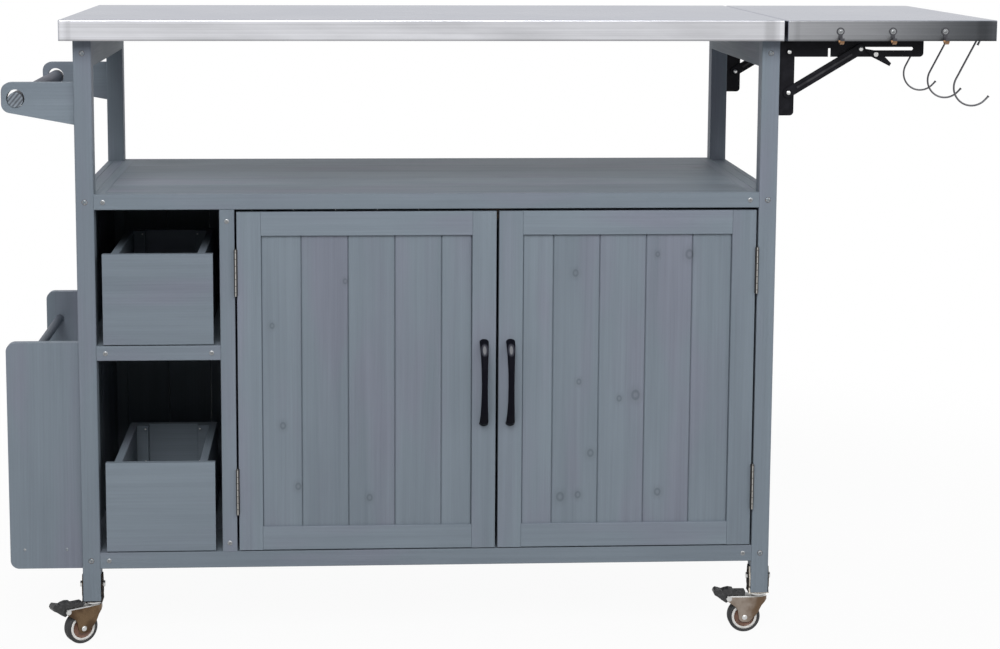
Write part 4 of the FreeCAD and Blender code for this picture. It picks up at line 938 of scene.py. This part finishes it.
@dataclass
class Worktop:
    """The fixed steel top and the leaf's, each over a board."""

    lip_colour: Colour = (0.518, 0.522, 0.548)
    # Painted reflection: the worktop lip fades by this share, and the leaf's lip is a darker copy that
    # fades further.
    lip_reflection_fade: float = 0.97
    leaf_near_reflection: Colour = (0.29, 0.295, 0.31)
    leaf_far_reflection: Colour = (0.060, 0.064, 0.070)
    fold: float = 5.0 * MM

    def build(self) -> None:
        """Dresses both pans and their boards; each front lip is brushed along, and a painted reflection
        darkens it to the right.
        """
        lip_far_reflection = tuple(self.lip_reflection_fade * part for part in self.lip_colour)
        self.dress_pan("worktop_skin", self.lip_colour, lip_far_reflection)
        self.dress_pan("leaf_skin", self.leaf_near_reflection, self.leaf_far_reflection)
        dress("worktop_core", StainedTimber(Axis.X, 3.0))
        dress("leaf_core", StainedTimber(Axis.Y, 4.0))

    def dress_pan(self, node: str, near: Colour, far: Colour) -> None:
        """Dresses one pan; bands on its lip are painted reflections of the folds at both ends.

        Args:
            node: its node.
            near: the front lip's colour at its left end, a painted reflection.
            far: its painted reflection colour at the right end.
        """
        low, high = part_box(node)
        bands = (PaintedReflectionBand(low.x + self.fold, self.fold, 1.10), PaintedReflectionBand(low.x + 3.0 * self.fold, self.fold, 0.90),
                 PaintedReflectionBand(high.x - self.fold, self.fold, 1.2),
                 PaintedReflectionBand(high.x - 4.5 * self.fold, 2.5 * self.fold, 0.80))
        lip = BrushedSteel(f"{node}_lip", near, far, (low.x, high.x), roughness=0.34, streaks=0.60,
                           bands=bands, edges=(low.z, high.z - 1.0 * MM), patches=0.55)
        dress(node, WORKTOP_STEEL, lip,
              choose=lambda centres, normals: (normals[:, 1] < -0.8) & (centres[:, 1] < low.y + MM))


@dataclass
class Carcass:
    """The legs, rails, decks, walls and cubby shelf."""

    side_boards: int = 6
    back_boards: int = 14
    shelf_boards: int = 5
    floor_boards: int = 4
    end_batten: float = 16.0 * MM
    rail: float = 18.0 * MM

    def build(self) -> None:
        """Dresses each timber along its own grain."""
        uprights = ("leg_front_left", "leg_front_right", "leg_rear_left", "leg_rear_right", "divider_post")
        for number, node in enumerate(uprights):
            dress(node, StainedTimber(Axis.Z, 10.0 + number))
        # The divider panel is darker as painted shade inside the cubby.
        dress("divider_panel", StainedTimber(Axis.Z, 16.0, tone_and_painted_shade=0.9))
        dress("top_side_rails", StainedTimber(Axis.Y, 17.0))
        dress("cubby_shelf", StainedTimber(Axis.X, 24.0))
        self.build_rails()
        self.build_boards()

    def build_rails(self) -> None:
        """Dresses the shelf's and the floor's rails: long ones along X, end ones along Y."""
        for number, node in enumerate(("shelf_rails", "base_rails")):
            low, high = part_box(node)
            reach = (high.x - low.x) / 2 - self.rail
            middle = (high.x + low.x) / 2
            dress(node, StainedTimber(Axis.X, 20.0 + number, tone_and_painted_shade=0.95),
                  StainedTimber(Axis.Y, 22.0 + number),
                  choose=lambda centres, normals: np.abs(centres[:, 0] - middle) > reach + SLACK)

    def build_boards(self) -> None:
        """Dresses the boards of the decks, the ends and the back, and the shelf's two battens."""
        low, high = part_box("shelf_boards")
        inner = (low.x + self.end_batten, high.x - self.end_batten)
        # The deck is darker as painted shade under the worktop.
        deck = StainedTimber(Axis.X, 30.0, Boards.over("shelf_boards", Axis.Y, self.shelf_boards), 0.94,
                             stray_knots=True, variety=0.8)
        dress("shelf_boards", deck, StainedTimber(Axis.Y, 31.0),
              choose=lambda centres, normals: (centres[:, 0] < inner[0]) | (centres[:, 0] > inner[1]))
        for node, grain, seed, across, count in (
                ("floor_boards", Axis.X, 32.0, Axis.Y, self.floor_boards),
                ("side_panel_left", Axis.Z, 40.0, Axis.Y, self.side_boards),
                ("side_panel_right", Axis.Z, 41.0, Axis.Y, self.side_boards),
                ("back_panel", Axis.Z, 42.0, Axis.X, self.back_boards)):
            dress(node, StainedTimber(grain, seed, Boards.over(node, across, count), stray_knots=True))


@dataclass
class Doors:
    """Two framed doors with matched boards, bow pulls and butt hinges."""

    stile: float = 36.6 * MM
    board: float = 71.0 * MM
    first_board: float = 60.4 * MM
    # How far below a pull's top its painted highlight is centred.
    shoulder: float = 14.3 * MM
    frame_shade: float = 1.03
    knots: dict[str, tuple[Knot, ...]] = field(default_factory=lambda: {
        "left": (Knot(-0.3436, 0.3376), Knot(-0.3209, 0.2422), Knot(-0.3590, 0.4930, 3.6 * MM),
                 Knot(-0.2116, 0.2234), Knot(-0.2480, 0.5610, 3.4 * MM)),
        "right": (Knot(0.1029, 0.5718), Knot(0.1098, 0.4026, 3.6 * MM), Knot(0.1288, 0.2903, 4.8 * MM),
                  Knot(0.0825, 0.2214, 5.8 * MM), Knot(0.1099, 0.2243), Knot(0.2336, 0.2276, 4.8 * MM),
                  Knot(0.2285, 0.6002, 3.4 * MM), Knot(0.2773, 0.6000, 6.0 * MM),
                  Knot(0.1975, 0.3811, 6.2 * MM), Knot(0.1723, 0.3758, 3.8 * MM)),
    })

    def build(self) -> None:
        """Dresses both doors, the frame's hinge leaves and the catch."""
        hinge = HingeSteel("hinge_steel", tuple(pin(f"door_{side}_swing")[0] for side in ("left", "right")))
        dress("frame_hinge_leaves", hinge)
        dress("door_catch", CATCH)
        for side, seed in (("left", 50.0), ("right", 60.0)):
            self.build_door(side, seed)
            dress(f"door_{side}_fittings", hinge)

    def build_door(self, side: str, seed: float) -> None:
        """Dresses one door; its boards are counted from its hinges.

        Args:
            side: "left" or "right".
            seed: its timber's first seed.
        """
        low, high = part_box(f"door_{side}_frame")
        middle = (low.x + high.x) / 2
        reach = (high.x - low.x) / 2 - self.stile
        upright = Boards(Axis.X, middle, high.x - low.x)
        dress(f"door_{side}_frame", StainedTimber(Axis.Z, seed, upright, self.frame_shade),
              StainedTimber(Axis.X, seed + 1.0, tone_and_painted_shade=self.frame_shade),
              choose=lambda centres, normals: np.abs(centres[:, 0] - middle) < reach - SLACK)
        low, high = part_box(f"door_{side}_boards")
        start = low.x + self.first_board if side == "left" else high.x - self.first_board
        dress(f"door_{side}_boards", StainedTimber(Axis.Z, seed + 2.0, Boards(Axis.X, start, self.board),
                                                   knots=self.knots[side]))
        # Each pull gets a painted highlight on its upper shoulder.
        low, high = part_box(f"door_{side}_pull")
        dress(f"door_{side}_pull", PullCoat(f"pull_coat_{side}", (low.x + high.x) / 2,
                                            high.z - self.shoulder))


@dataclass
class Bins:
    """The two open bins, with the nails that show inside them."""

    wood: float = 12.0 * MM
    cleat: float = 19.0 * MM
    side_inset: float = 12.0 * MM
    nail: float = 1.4 * MM
    crown: float = 0.7 * MM
    cleat_drops: tuple[float, ...] = (4.0 * MM, 58.0 * MM)
    back_offsets: tuple[float, ...] = (-36.0 * MM, 22.0 * MM)
    back_height: float = 72.0 * MM

    def build(self) -> None:
        """Dresses both bins, and drives two nails up each rear cleat and two low on the back board."""
        for number, node in enumerate(("bin_upper", "bin_lower")):
            low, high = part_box(node)
            middle = (low.x + high.x) / 2
            side = (high.x - low.x) / 2 - self.side_inset - self.wood
            front, back = low.y + self.wood, high.y - self.wood
            dress(node, StainedTimber(Axis.X, 70.0 + number, ring_pitch=4.0 * MM),
                  StainedTimber(Axis.Y, 72.0 + number),
                  choose=lambda centres, normals: (np.abs(centres[:, 0] - middle) > side - SLACK)
                  & (centres[:, 1] > front - SLACK))
            spots = [(middle + sign * (side - self.cleat * 0.78), back - self.cleat, high.z - drop)
                     for sign in (-1, 1) for drop in self.cleat_drops]
            spots += [(middle + offset, back, low.z + self.back_height) for offset in self.back_offsets]
            heads = [dome(np.array(spot), FORWARD, self.nail, self.crown) for spot in spots]
            # The nail heads' white is a painted glint.
            add_piece(f"{node}_nails", heads, NAIL_PAINTED_GLINT, node)


@dataclass
class LeftEnd:
    """The towel rod in its two bracket boards, and the side rack below."""

    rod_light: Colour = (0.120, 0.140, 0.166)
    rod_dark: Colour = (0.062, 0.072, 0.090)
    nail: float = 2.4 * MM
    crown: float = 0.6 * MM
    nail_height: float = 29.6 * MM
    nail_places: tuple[float, ...] = (22.0 * MM, 86.0 * MM)

    def build(self) -> None:
        """Dresses the boards and the two rods, and nails the rack's front plate."""
        dress("towel_brackets", StainedTimber(Axis.X, 80.0))
        dress("rack_plates", StainedTimber(Axis.Z, 81.0))
        dress("rack_base", StainedTimber(Axis.Y, 82.0))
        rod = StainedTimber(Axis.Y, 83.0, light=self.rod_light, dark=self.rod_dark)
        dress("towel_rod", rod, SawnEnd("sawn_rod_end"),
              choose=lambda centres, normals: normals[:, 1] < -0.9)
        dress("rack_rod", replace(rod, seed=84.0))
        low = np.array(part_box("rack_plates")[0])
        heads = [dome(low + (along, 0.0, self.nail_height), FORWARD, self.nail, self.crown)
                 for along in self.nail_places]
        add_piece("rack_nails", heads, PAINTED, "cart")


@dataclass
class Brackets:
    """The two folding brackets under the leaf, with their domed rivets."""

    head: float = 3.4 * MM
    crown: float = 1.6 * MM
    flush_crown: float = 0.2 * MM
    strut_end: float = 7.2 * MM

    def build(self) -> None:
        """Dresses the plates, arms, struts and levers in black, and puts a bright dome on each rivet.

        The folded strut passes over the lever's rivet, so that one is flush.
        """
        dress("bracket_wall_plates", BLACK)
        dress("bracket_arms", BLACK)
        for where in ("front", "rear"):
            lever, strut = f"bracket_lever_{where}", f"bracket_strut_{where}"
            low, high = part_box(strut)
            dress(lever, BLACK)
            # The struts' front faces take the lighter black.
            dress(strut, BLACK, LIGHTER_STRUT_FACE, choose=lambda centres, normals: centres[:, 1] < low.y + SLACK)
            end = (high.x - self.strut_end, low.y, high.z - self.strut_end)
            for rivets, places, face, body, crown in (
                    ("fixed_rivets", (pin("leaf_fold"), pin(f"strut_{where}_fold")), low.y, "cart",
                     self.crown),
                    ("slot_rivet", (end,), low.y, f"strut_{where}", self.crown),
                    ("lever_rivet", (pin(f"lever_{where}_press"),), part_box(lever)[0].y, "leaf",
                     self.flush_crown)):
                heads = [dome(np.array([place[0], face, place[2]]), FORWARD, self.head, crown)
                         for place in places]
                add_piece(f"{where}_{rivets}", heads, ZINC, body)


@dataclass
class Hangers:
    """The six hanging plates on the leaf with their screws, and the three hooks."""

    screw: ScrewHead = ScrewHead(2.7 * MM, 1.3 * MM, 0.7 * MM, 1.6 * MM)
    turn_step: float = 0.5
    plate_reach: float = 40.0 * MM
    head_radius: float = 5.9 * MM
    foot: float = 7.0 * MM
    washer: tuple[tuple[float, float], ...] = ((0.25 * MM, 2.8 * MM), (0.25 * MM, 4.0 * MM),
                                               (-0.1 * MM, 4.1 * MM), (-0.1 * MM, 2.7 * MM))
    steel: float = 1.2 * MM
    wire: float = 1.5 * MM
    loop: float = 8.0 * MM
    tail: float = 5.0 * MM
    shank: float = 65.0 * MM
    bend: float = 29.0 * MM
    sweep: float = math.radians(164.0)
    tip: float = 8.0 * MM
    tip_steps: int = 10
    lean: float = math.radians(27.0)
    swollen: float = 0.28
    swollen_reach: float = 2.2 * MM

    def build(self) -> None:
        """Dresses the plates, screws them on, and bends the hooks."""
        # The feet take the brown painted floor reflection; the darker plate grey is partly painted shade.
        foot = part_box("hanging_plates")[1].z - 2 * self.head_radius - self.foot
        dress("hanging_plates", PLATE_GREY_AND_PAINTED_SHADE, FOOT_PAINTED_REFLECTION,
              choose=lambda centres, normals: centres[:, 2] < foot)
        screws, washers = [], []
        leaf_low, leaf_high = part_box("leaf_skin")
        for number, (low, high) in enumerate(clusters("hanging_plates", self.plate_reach)):
            seat = np.array([(low[0] + high[0]) / 2, leaf_low.y - self.steel, high[2] - self.head_radius])
            axis = FORWARD
            if high[0] > leaf_high.x + self.steel / 2:
                seat[:2] = leaf_high.x + self.steel, (low[1] + high[1]) / 2
                axis = Axis.X.unit()
            screws.append(self.screw.form(seat, axis, self.turn_step * number))
            washers.append(turned(seat, axis, self.washer))
        add_piece("plate_screws", screws, SCREW_STEEL, "leaf")
        add_piece("plate_washers", washers, SCREW_STEEL, "leaf")
        for place in ("front", "middle", "rear"):
            hook = self.hook(pin(f"hook_{place}_swing"))
            add_piece(f"{place}_hook_wire", [hook], WIRE, f"hook_{place}", replaced=[f"hook_{place}"])

    def hook(self, top: np.ndarray) -> Form:
        """A hook: a half turn over the trough in the YZ plane, a shank, and a bend in the XZ plane.

        The half turn is (0, -l cos t, l sin t - l), and the bend (b - b cos t, l, -l - s - b sin t), with
        loop radius l, shank s and bend radius b. All of it leans about Y, and its ends swell slightly.

        Args:
            top: the highest point of its middle line.

        Returns:
            The form.
        """
        over = np.linspace(0.0, math.pi, 25)
        under = np.linspace(0.0, self.sweep, 49)
        foot = -self.loop - self.shank
        start = np.array([[0.0, -self.loop, -self.loop - self.tail]])
        half_turn = np.stack([np.zeros_like(over), -self.loop * np.cos(over),
                              self.loop * np.sin(over) - self.loop], axis=1)
        turn_in = np.stack([self.bend - self.bend * np.cos(under), np.full_like(under, self.loop),
                            foot - self.bend * np.sin(under)], axis=1)
        onward = np.array([math.sin(self.sweep), 0.0, -math.cos(self.sweep)])
        straight = turn_in[-1] + np.linspace(1.0, self.tip / MM, self.tip_steps)[:, None] * MM * onward
        path = np.concatenate([start, half_turn, turn_in, straight])
        under = np.append(under, np.full(self.tip_steps, self.sweep))
        sideways = np.concatenate([np.tile(Axis.X.unit(), (len(over) + 1, 1)),
                                   np.stack([np.cos(under), np.zeros_like(under), np.sin(under)], axis=1)])
        run = np.append(0.0, np.cumsum(np.linalg.norm(np.diff(path, axis=0), axis=1)))
        swell = sum(np.exp(-((run - end) / self.swollen_reach) ** 2) for end in (run[-1], 0.0))
        cos, sin = math.cos(self.lean), math.sin(self.lean)
        lean = np.array([[cos, 0.0, sin], [0.0, 1.0, 0.0], [-sin, 0.0, cos]])
        return tube(top + path @ lean.T, sideways @ lean.T, self.wire * (1.0 + self.swollen * swell))


@dataclass
class Screws:
    """The cross-head screws on the front of the frame: painted ones in the legs, bright ones elsewhere."""

    head: ScrewHead = ScrewHead()
    turn_step: float = 0.7
    reach: float = 8.0 * MM
    collar: float = 0.7 * MM
    collar_height: float = 0.3 * MM

    def build(self) -> None:
        """Puts a head with a cross recess at each CAD screw head, and a stained collar in each leg."""
        legs = [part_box(f"leg_front_{side}") for side in ("left", "right")]
        inner, outer = self.head.radius, self.head.radius + self.collar
        profile = [(self.collar_height, inner), (self.collar_height, outer - 0.2 * MM), (-SLACK, outer),
                   (-SLACK, inner)]
        heads: dict[bool, list[Form]] = {True: [], False: []}
        collars = []
        for number, (low, high) in enumerate(clusters("screw_heads", self.reach)):
            seat = np.array([(low[0] + high[0]) / 2, high[1], (low[2] + high[2]) / 2])
            in_leg = any(leg_low.x < seat[0] < leg_high.x for leg_low, leg_high in legs)
            heads[in_leg].append(self.head.form(seat, FORWARD, self.turn_step * number))
            if in_leg:
                collars.append(turned(seat, FORWARD, profile))
        add_piece("rail_screws", heads[False], SCREW_STEEL, "cart", replaced=["screw_heads"])
        add_piece("leg_screws", heads[True], PAINTED, "cart")
        add_piece("leg_screw_collars", collars, RUST, "cart")


@dataclass
class Castors:
    """Four swivel castors with braked wheels, and the clamps that hold them on the legs."""

    radius: float = 25.0 * MM
    tyre_half: float = 8.5 * MM
    hub_half: float = 9.2 * MM
    ring_inner: float = 16.0 * MM
    ring_outer: float = 19.7 * MM
    bore: float = 3.05 * MM
    boss: float = 6.6 * MM
    shoulder: float = 3.0 * MM
    segments: int = 56
    clamp_steel: float = 2.05 * MM
    clamp_foot: float = 63.39 * MM
    axle_half: float = 12.45 * MM
    axle_head: float = 3.6 * MM
    axle_crown: float = 1.1 * MM
    roll_reach: float = 4.25 * MM
    brake_reach: float = 4.85 * MM
    fork_highlight_rim: float = 2.0 * MM

    def build(self) -> None:
        """Builds each castor, and dresses the clamps."""
        for corner in ("front_left", "front_right", "rear_left", "rear_right"):
            name = f"castor_{corner}"
            # The left forks take the darker copy as painted shade.
            plate = FORK_PAINTED_SHADE if corner.endswith("left") else TAUPE_FORK
            dress(f"{name}_fork", plate, ZINC, choose=functools.partial(self.fork_numbers, name))
            dress(f"{name}_pedal", PEDAL)
            centre, axis = pin(f"{name}_roll"), np.array(JOINTS[f"{name}_roll"]["axis"])
            self.build_wheel(name, centre, axis)
            ends = [dome(centre + self.axle_half * way, way, self.axle_head, self.axle_crown)
                    for way in (-axis, axis)]
            add_piece(f"{name}_axle_ends", ends, ZINC, f"{name}_swivel")
        dress("castor_clamps", STRAP, ZINC, CUT_EDGE_PAINTED_HIGHLIGHT, choose=self.clamp_numbers)

    def clamp_numbers(self, centres: np.ndarray, normals: np.ndarray) -> np.ndarray:
        """The finishes of the clamps' faces.

        Args:
            centres: the faces' centres.
            normals: their normals.

        Returns:
            1 on the races, bolt heads and nuts, 2 on the right strap's bare cut edges, made light as a
            painted highlight, and 0 elsewhere.
        """
        left, right = (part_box(f"leg_front_{side}") for side in ("left", "right"))
        x = centres[:, 0]
        clear = np.ones(len(centres), dtype=bool)
        for low, high in (left, right):
            clear &= (x < low.x - self.clamp_steel) | (x > high.x + self.clamp_steel)
        races = centres[:, 2] < self.clamp_foot
        # Only the right strap's cut edges are made light: a painted highlight.
        bare = (x > right[0].x - self.clamp_steel) & (x < right[1].x - self.clamp_steel)
        return np.where(races | clear, 1, np.where(bare & (np.abs(normals[:, 1]) > 0.5), 2, 0))

    def fork_numbers(self, name: str, centres: np.ndarray, normals: np.ndarray) -> np.ndarray:
        """The finishes of a fork's faces.

        Args:
            name: the castor's name.
            centres: the faces' centres.
            normals: their normals.

        Returns:
            1 within a rivet head's reach of the axle or the pedal pin, and on the top's rounded rim as a
            painted highlight.
        """
        axis = np.array(JOINTS[f"{name}_roll"]["axis"])
        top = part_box(f"{name}_fork")[1].z
        # Zinc on the top's rounded rim is a painted highlight.
        marked = (centres[:, 2] > top - self.fork_highlight_rim) & (normals[:, 2] > 0.3)
        for joint, reach in (("roll", self.roll_reach), ("brake", self.brake_reach)):
            away = centres - pin(f"{name}_{joint}")
            marked |= np.linalg.norm(away - np.outer(away @ axis, axis), axis=1) < reach
        return marked

    def build_wheel(self, name: str, centre: np.ndarray, axis: np.ndarray) -> None:
        """Builds a wheel: a tyre with two shallow grooves, a pale ring and a dished hub.

        Each is turned from half a profile, out to one side, and its mirror image.

        Args:
            name: the castor's name.
            centre: the middle of the axle.
            axis: the axle's direction.
        """
        half, radius, low, high = self.tyre_half, self.radius, self.ring_inner, self.ring_outer
        tyre = [(half - MM, high), (half, high + MM)]
        tyre += [(half - self.shoulder + self.shoulder * math.cos(turn),
                  radius - self.shoulder + self.shoulder * math.sin(turn))
                 for turn in np.linspace(0.0, math.pi / 2, 6)]
        tyre += [(2.6 * MM, radius), (2.2 * MM, radius - 0.6 * MM), (1.6 * MM, radius - 0.6 * MM),
                 (1.2 * MM, radius)]
        face = half - 0.6 * MM
        rim = [(face, low), (face + 0.4 * MM, low + 0.6 * MM), (face + 0.4 * MM, high - 0.6 * MM),
               (face, high)]
        end, boss, web = self.hub_half, self.boss, half - 2.6 * MM
        hub = [(end, self.bore), (end, boss - 0.5 * MM), (end - 0.5 * MM, boss),
               (web + 0.4 * MM, boss + 1.2 * MM), (web, boss + 2.4 * MM), (web, low - 2.0 * MM),
               (web + 0.6 * MM, low - 0.8 * MM), (web + 1.6 * MM, low)]
        for part, side, finish, replaced in (("tyre", tyre, RUBBER, [f"{name}_wheel"]),
                                             ("rim", rim, RIM, []), ("hub", hub, HUB, [])):
            profile = side + [(-along, out) for along, out in reversed(side)]
            add_piece(f"{name}_{part}", [turned(centre, axis, profile, self.segments)], finish,
                      f"{name}_wheel", replaced)


@dataclass(frozen=True)
class Lamp:
    """A square soft lamp that faces a height over the origin, with a share of the key lamp's power."""

    place: tuple[float, float, float]
    aim: float = 0.5
    side: float = 2.2
    share: float = 0.25
    mirrored: bool = True


@dataclass
class Studio:
    """A white floor and world, soft lamps, and the camera at the photograph's viewpoint."""

    focal: float = 2.07318
    sensor: float = 36.0
    place: tuple[float, float, float] = (-0.24574, -3.32259, 1.11227)
    yaw: float = 0.05036
    pitch: float = 0.12703
    roll: float = 0.00316
    shift: tuple[float, float] = (0.05, -0.1445)
    floor_half: float = 25.0
    floor_drop: float = 0.5 * MM
    floor_colour: tuple[float, ...] = (0.6, 0.6, 0.6, 1.0)
    floor_glow: float = 0.95
    floor_fade: tuple[float, float] = (0.9, 2.0)
    world_strength: float = 0.24
    key_power: float = 163.0
    lamps: dict[str, Lamp] = field(default_factory=lambda: {
        "key_lamp": Lamp((-0.6, -3.6, 3.5), 0.55, 2.6, 1.0),
        "fill_lamp": Lamp((2.6, -2.4, 2.6), share=0.26),
        "back_lamp": Lamp((0.6, 3.2, 2.4), mirrored=False),
        "side_lamp": Lamp((-3.2, 0.8, 1.9), mirrored=False),
    })

    def build(self) -> None:
        """Sets up the view, the world, the floor, the lamps and the camera."""
        bpy.context.scene.view_settings.view_transform = "Standard"
        self.build_world()
        self.build_floor()
        for name, lamp in self.lamps.items():
            self.add_lamp(name, lamp)
        self.build_camera()

    def build_world(self) -> None:
        """A world that lights at a plain level and shows white to the camera and in reflections."""
        world = bpy.data.worlds.new("white_room")
        bpy.context.scene.world = world
        nodes = Nodes(world)
        strength = nodes.backdrop() * (1.0 - self.world_strength) + self.world_strength
        sky = nodes.add("ShaderNodeBackground", inputs={"Color": WHITE, "Strength": strength})
        nodes.end(sky, "ShaderNodeOutputWorld")

    def build_floor(self) -> None:
        """A white floor that keeps the cart's shadow faintly, and glows evenly away from it."""
        nodes = Nodes.named("white_floor")
        across, along, _ = nodes.place
        matt = nodes.add("ShaderNodeBsdfDiffuse", inputs={"Color": self.floor_colour})
        glow = nodes.add("ShaderNodeEmission", inputs={"Color": WHITE, "Strength": 1.0})
        away = across.length(along).fade(*self.floor_fade)
        share = away * (1.0 - self.floor_glow) + self.floor_glow
        nodes.end(nodes.add("ShaderNodeMixShader", inputs={0: nodes.backdrop() * share, 1: matt, 2: glow}))
        ends = (-self.floor_half, self.floor_half)
        corners = np.array([[(x, y, -self.floor_drop) for x in ends] for y in ends])
        add_object("floor", [grid_form(corners, closed_columns=False)], nodes.holder)

    def add_lamp(self, name: str, lamp: Lamp) -> None:
        """Puts up one lamp.

        Args:
            name: its name.
            lamp: what it is like.
        """
        light = bpy.data.lights.new(name, "AREA")
        light.shape = "SQUARE"
        light.size = lamp.side
        light.energy = self.key_power * lamp.share
        holder = bpy.data.objects.new(name, light)
        bpy.context.scene.collection.objects.link(holder)
        holder.location = lamp.place
        ahead = Vector((0.0, 0.0, lamp.aim)) - Vector(lamp.place)
        holder.rotation_euler = ahead.to_track_quat("-Z", "Y").to_euler()
        holder.visible_glossy = lamp.mirrored

    def build_camera(self) -> None:
        """The camera: turned toward +X by the yaw, down by the pitch, and rolled."""
        lens = bpy.data.cameras.new("camera")
        lens.sensor_width = self.sensor
        lens.lens = self.focal * self.sensor
        lens.shift_x, lens.shift_y = self.shift
        lens.clip_end = 60.0
        holder = bpy.data.objects.new("camera", lens)
        bpy.context.scene.collection.objects.link(holder)
        holder.matrix_world = Matrix.Translation(self.place)
        for angle, axis in ((-self.yaw, "Z"), (math.pi / 2 - self.pitch, "X"), (self.roll, "Z")):
            holder.matrix_world @= Matrix.Rotation(angle, 4, axis)
        bpy.context.scene.camera = holder


def main() -> None:
    """Builds the sub-assemblies in order, then the studio."""
    logging.basicConfig(level=logging.INFO, format="%(name)s: %(message)s")
    for assembly in (Worktop(), Carcass(), Doors(), Bins(), LeftEnd(), Brackets(), Hangers(), Castors(),
                     Screws(), Studio()):
        assembly.build()


if __name__ == "__main__":
    main()
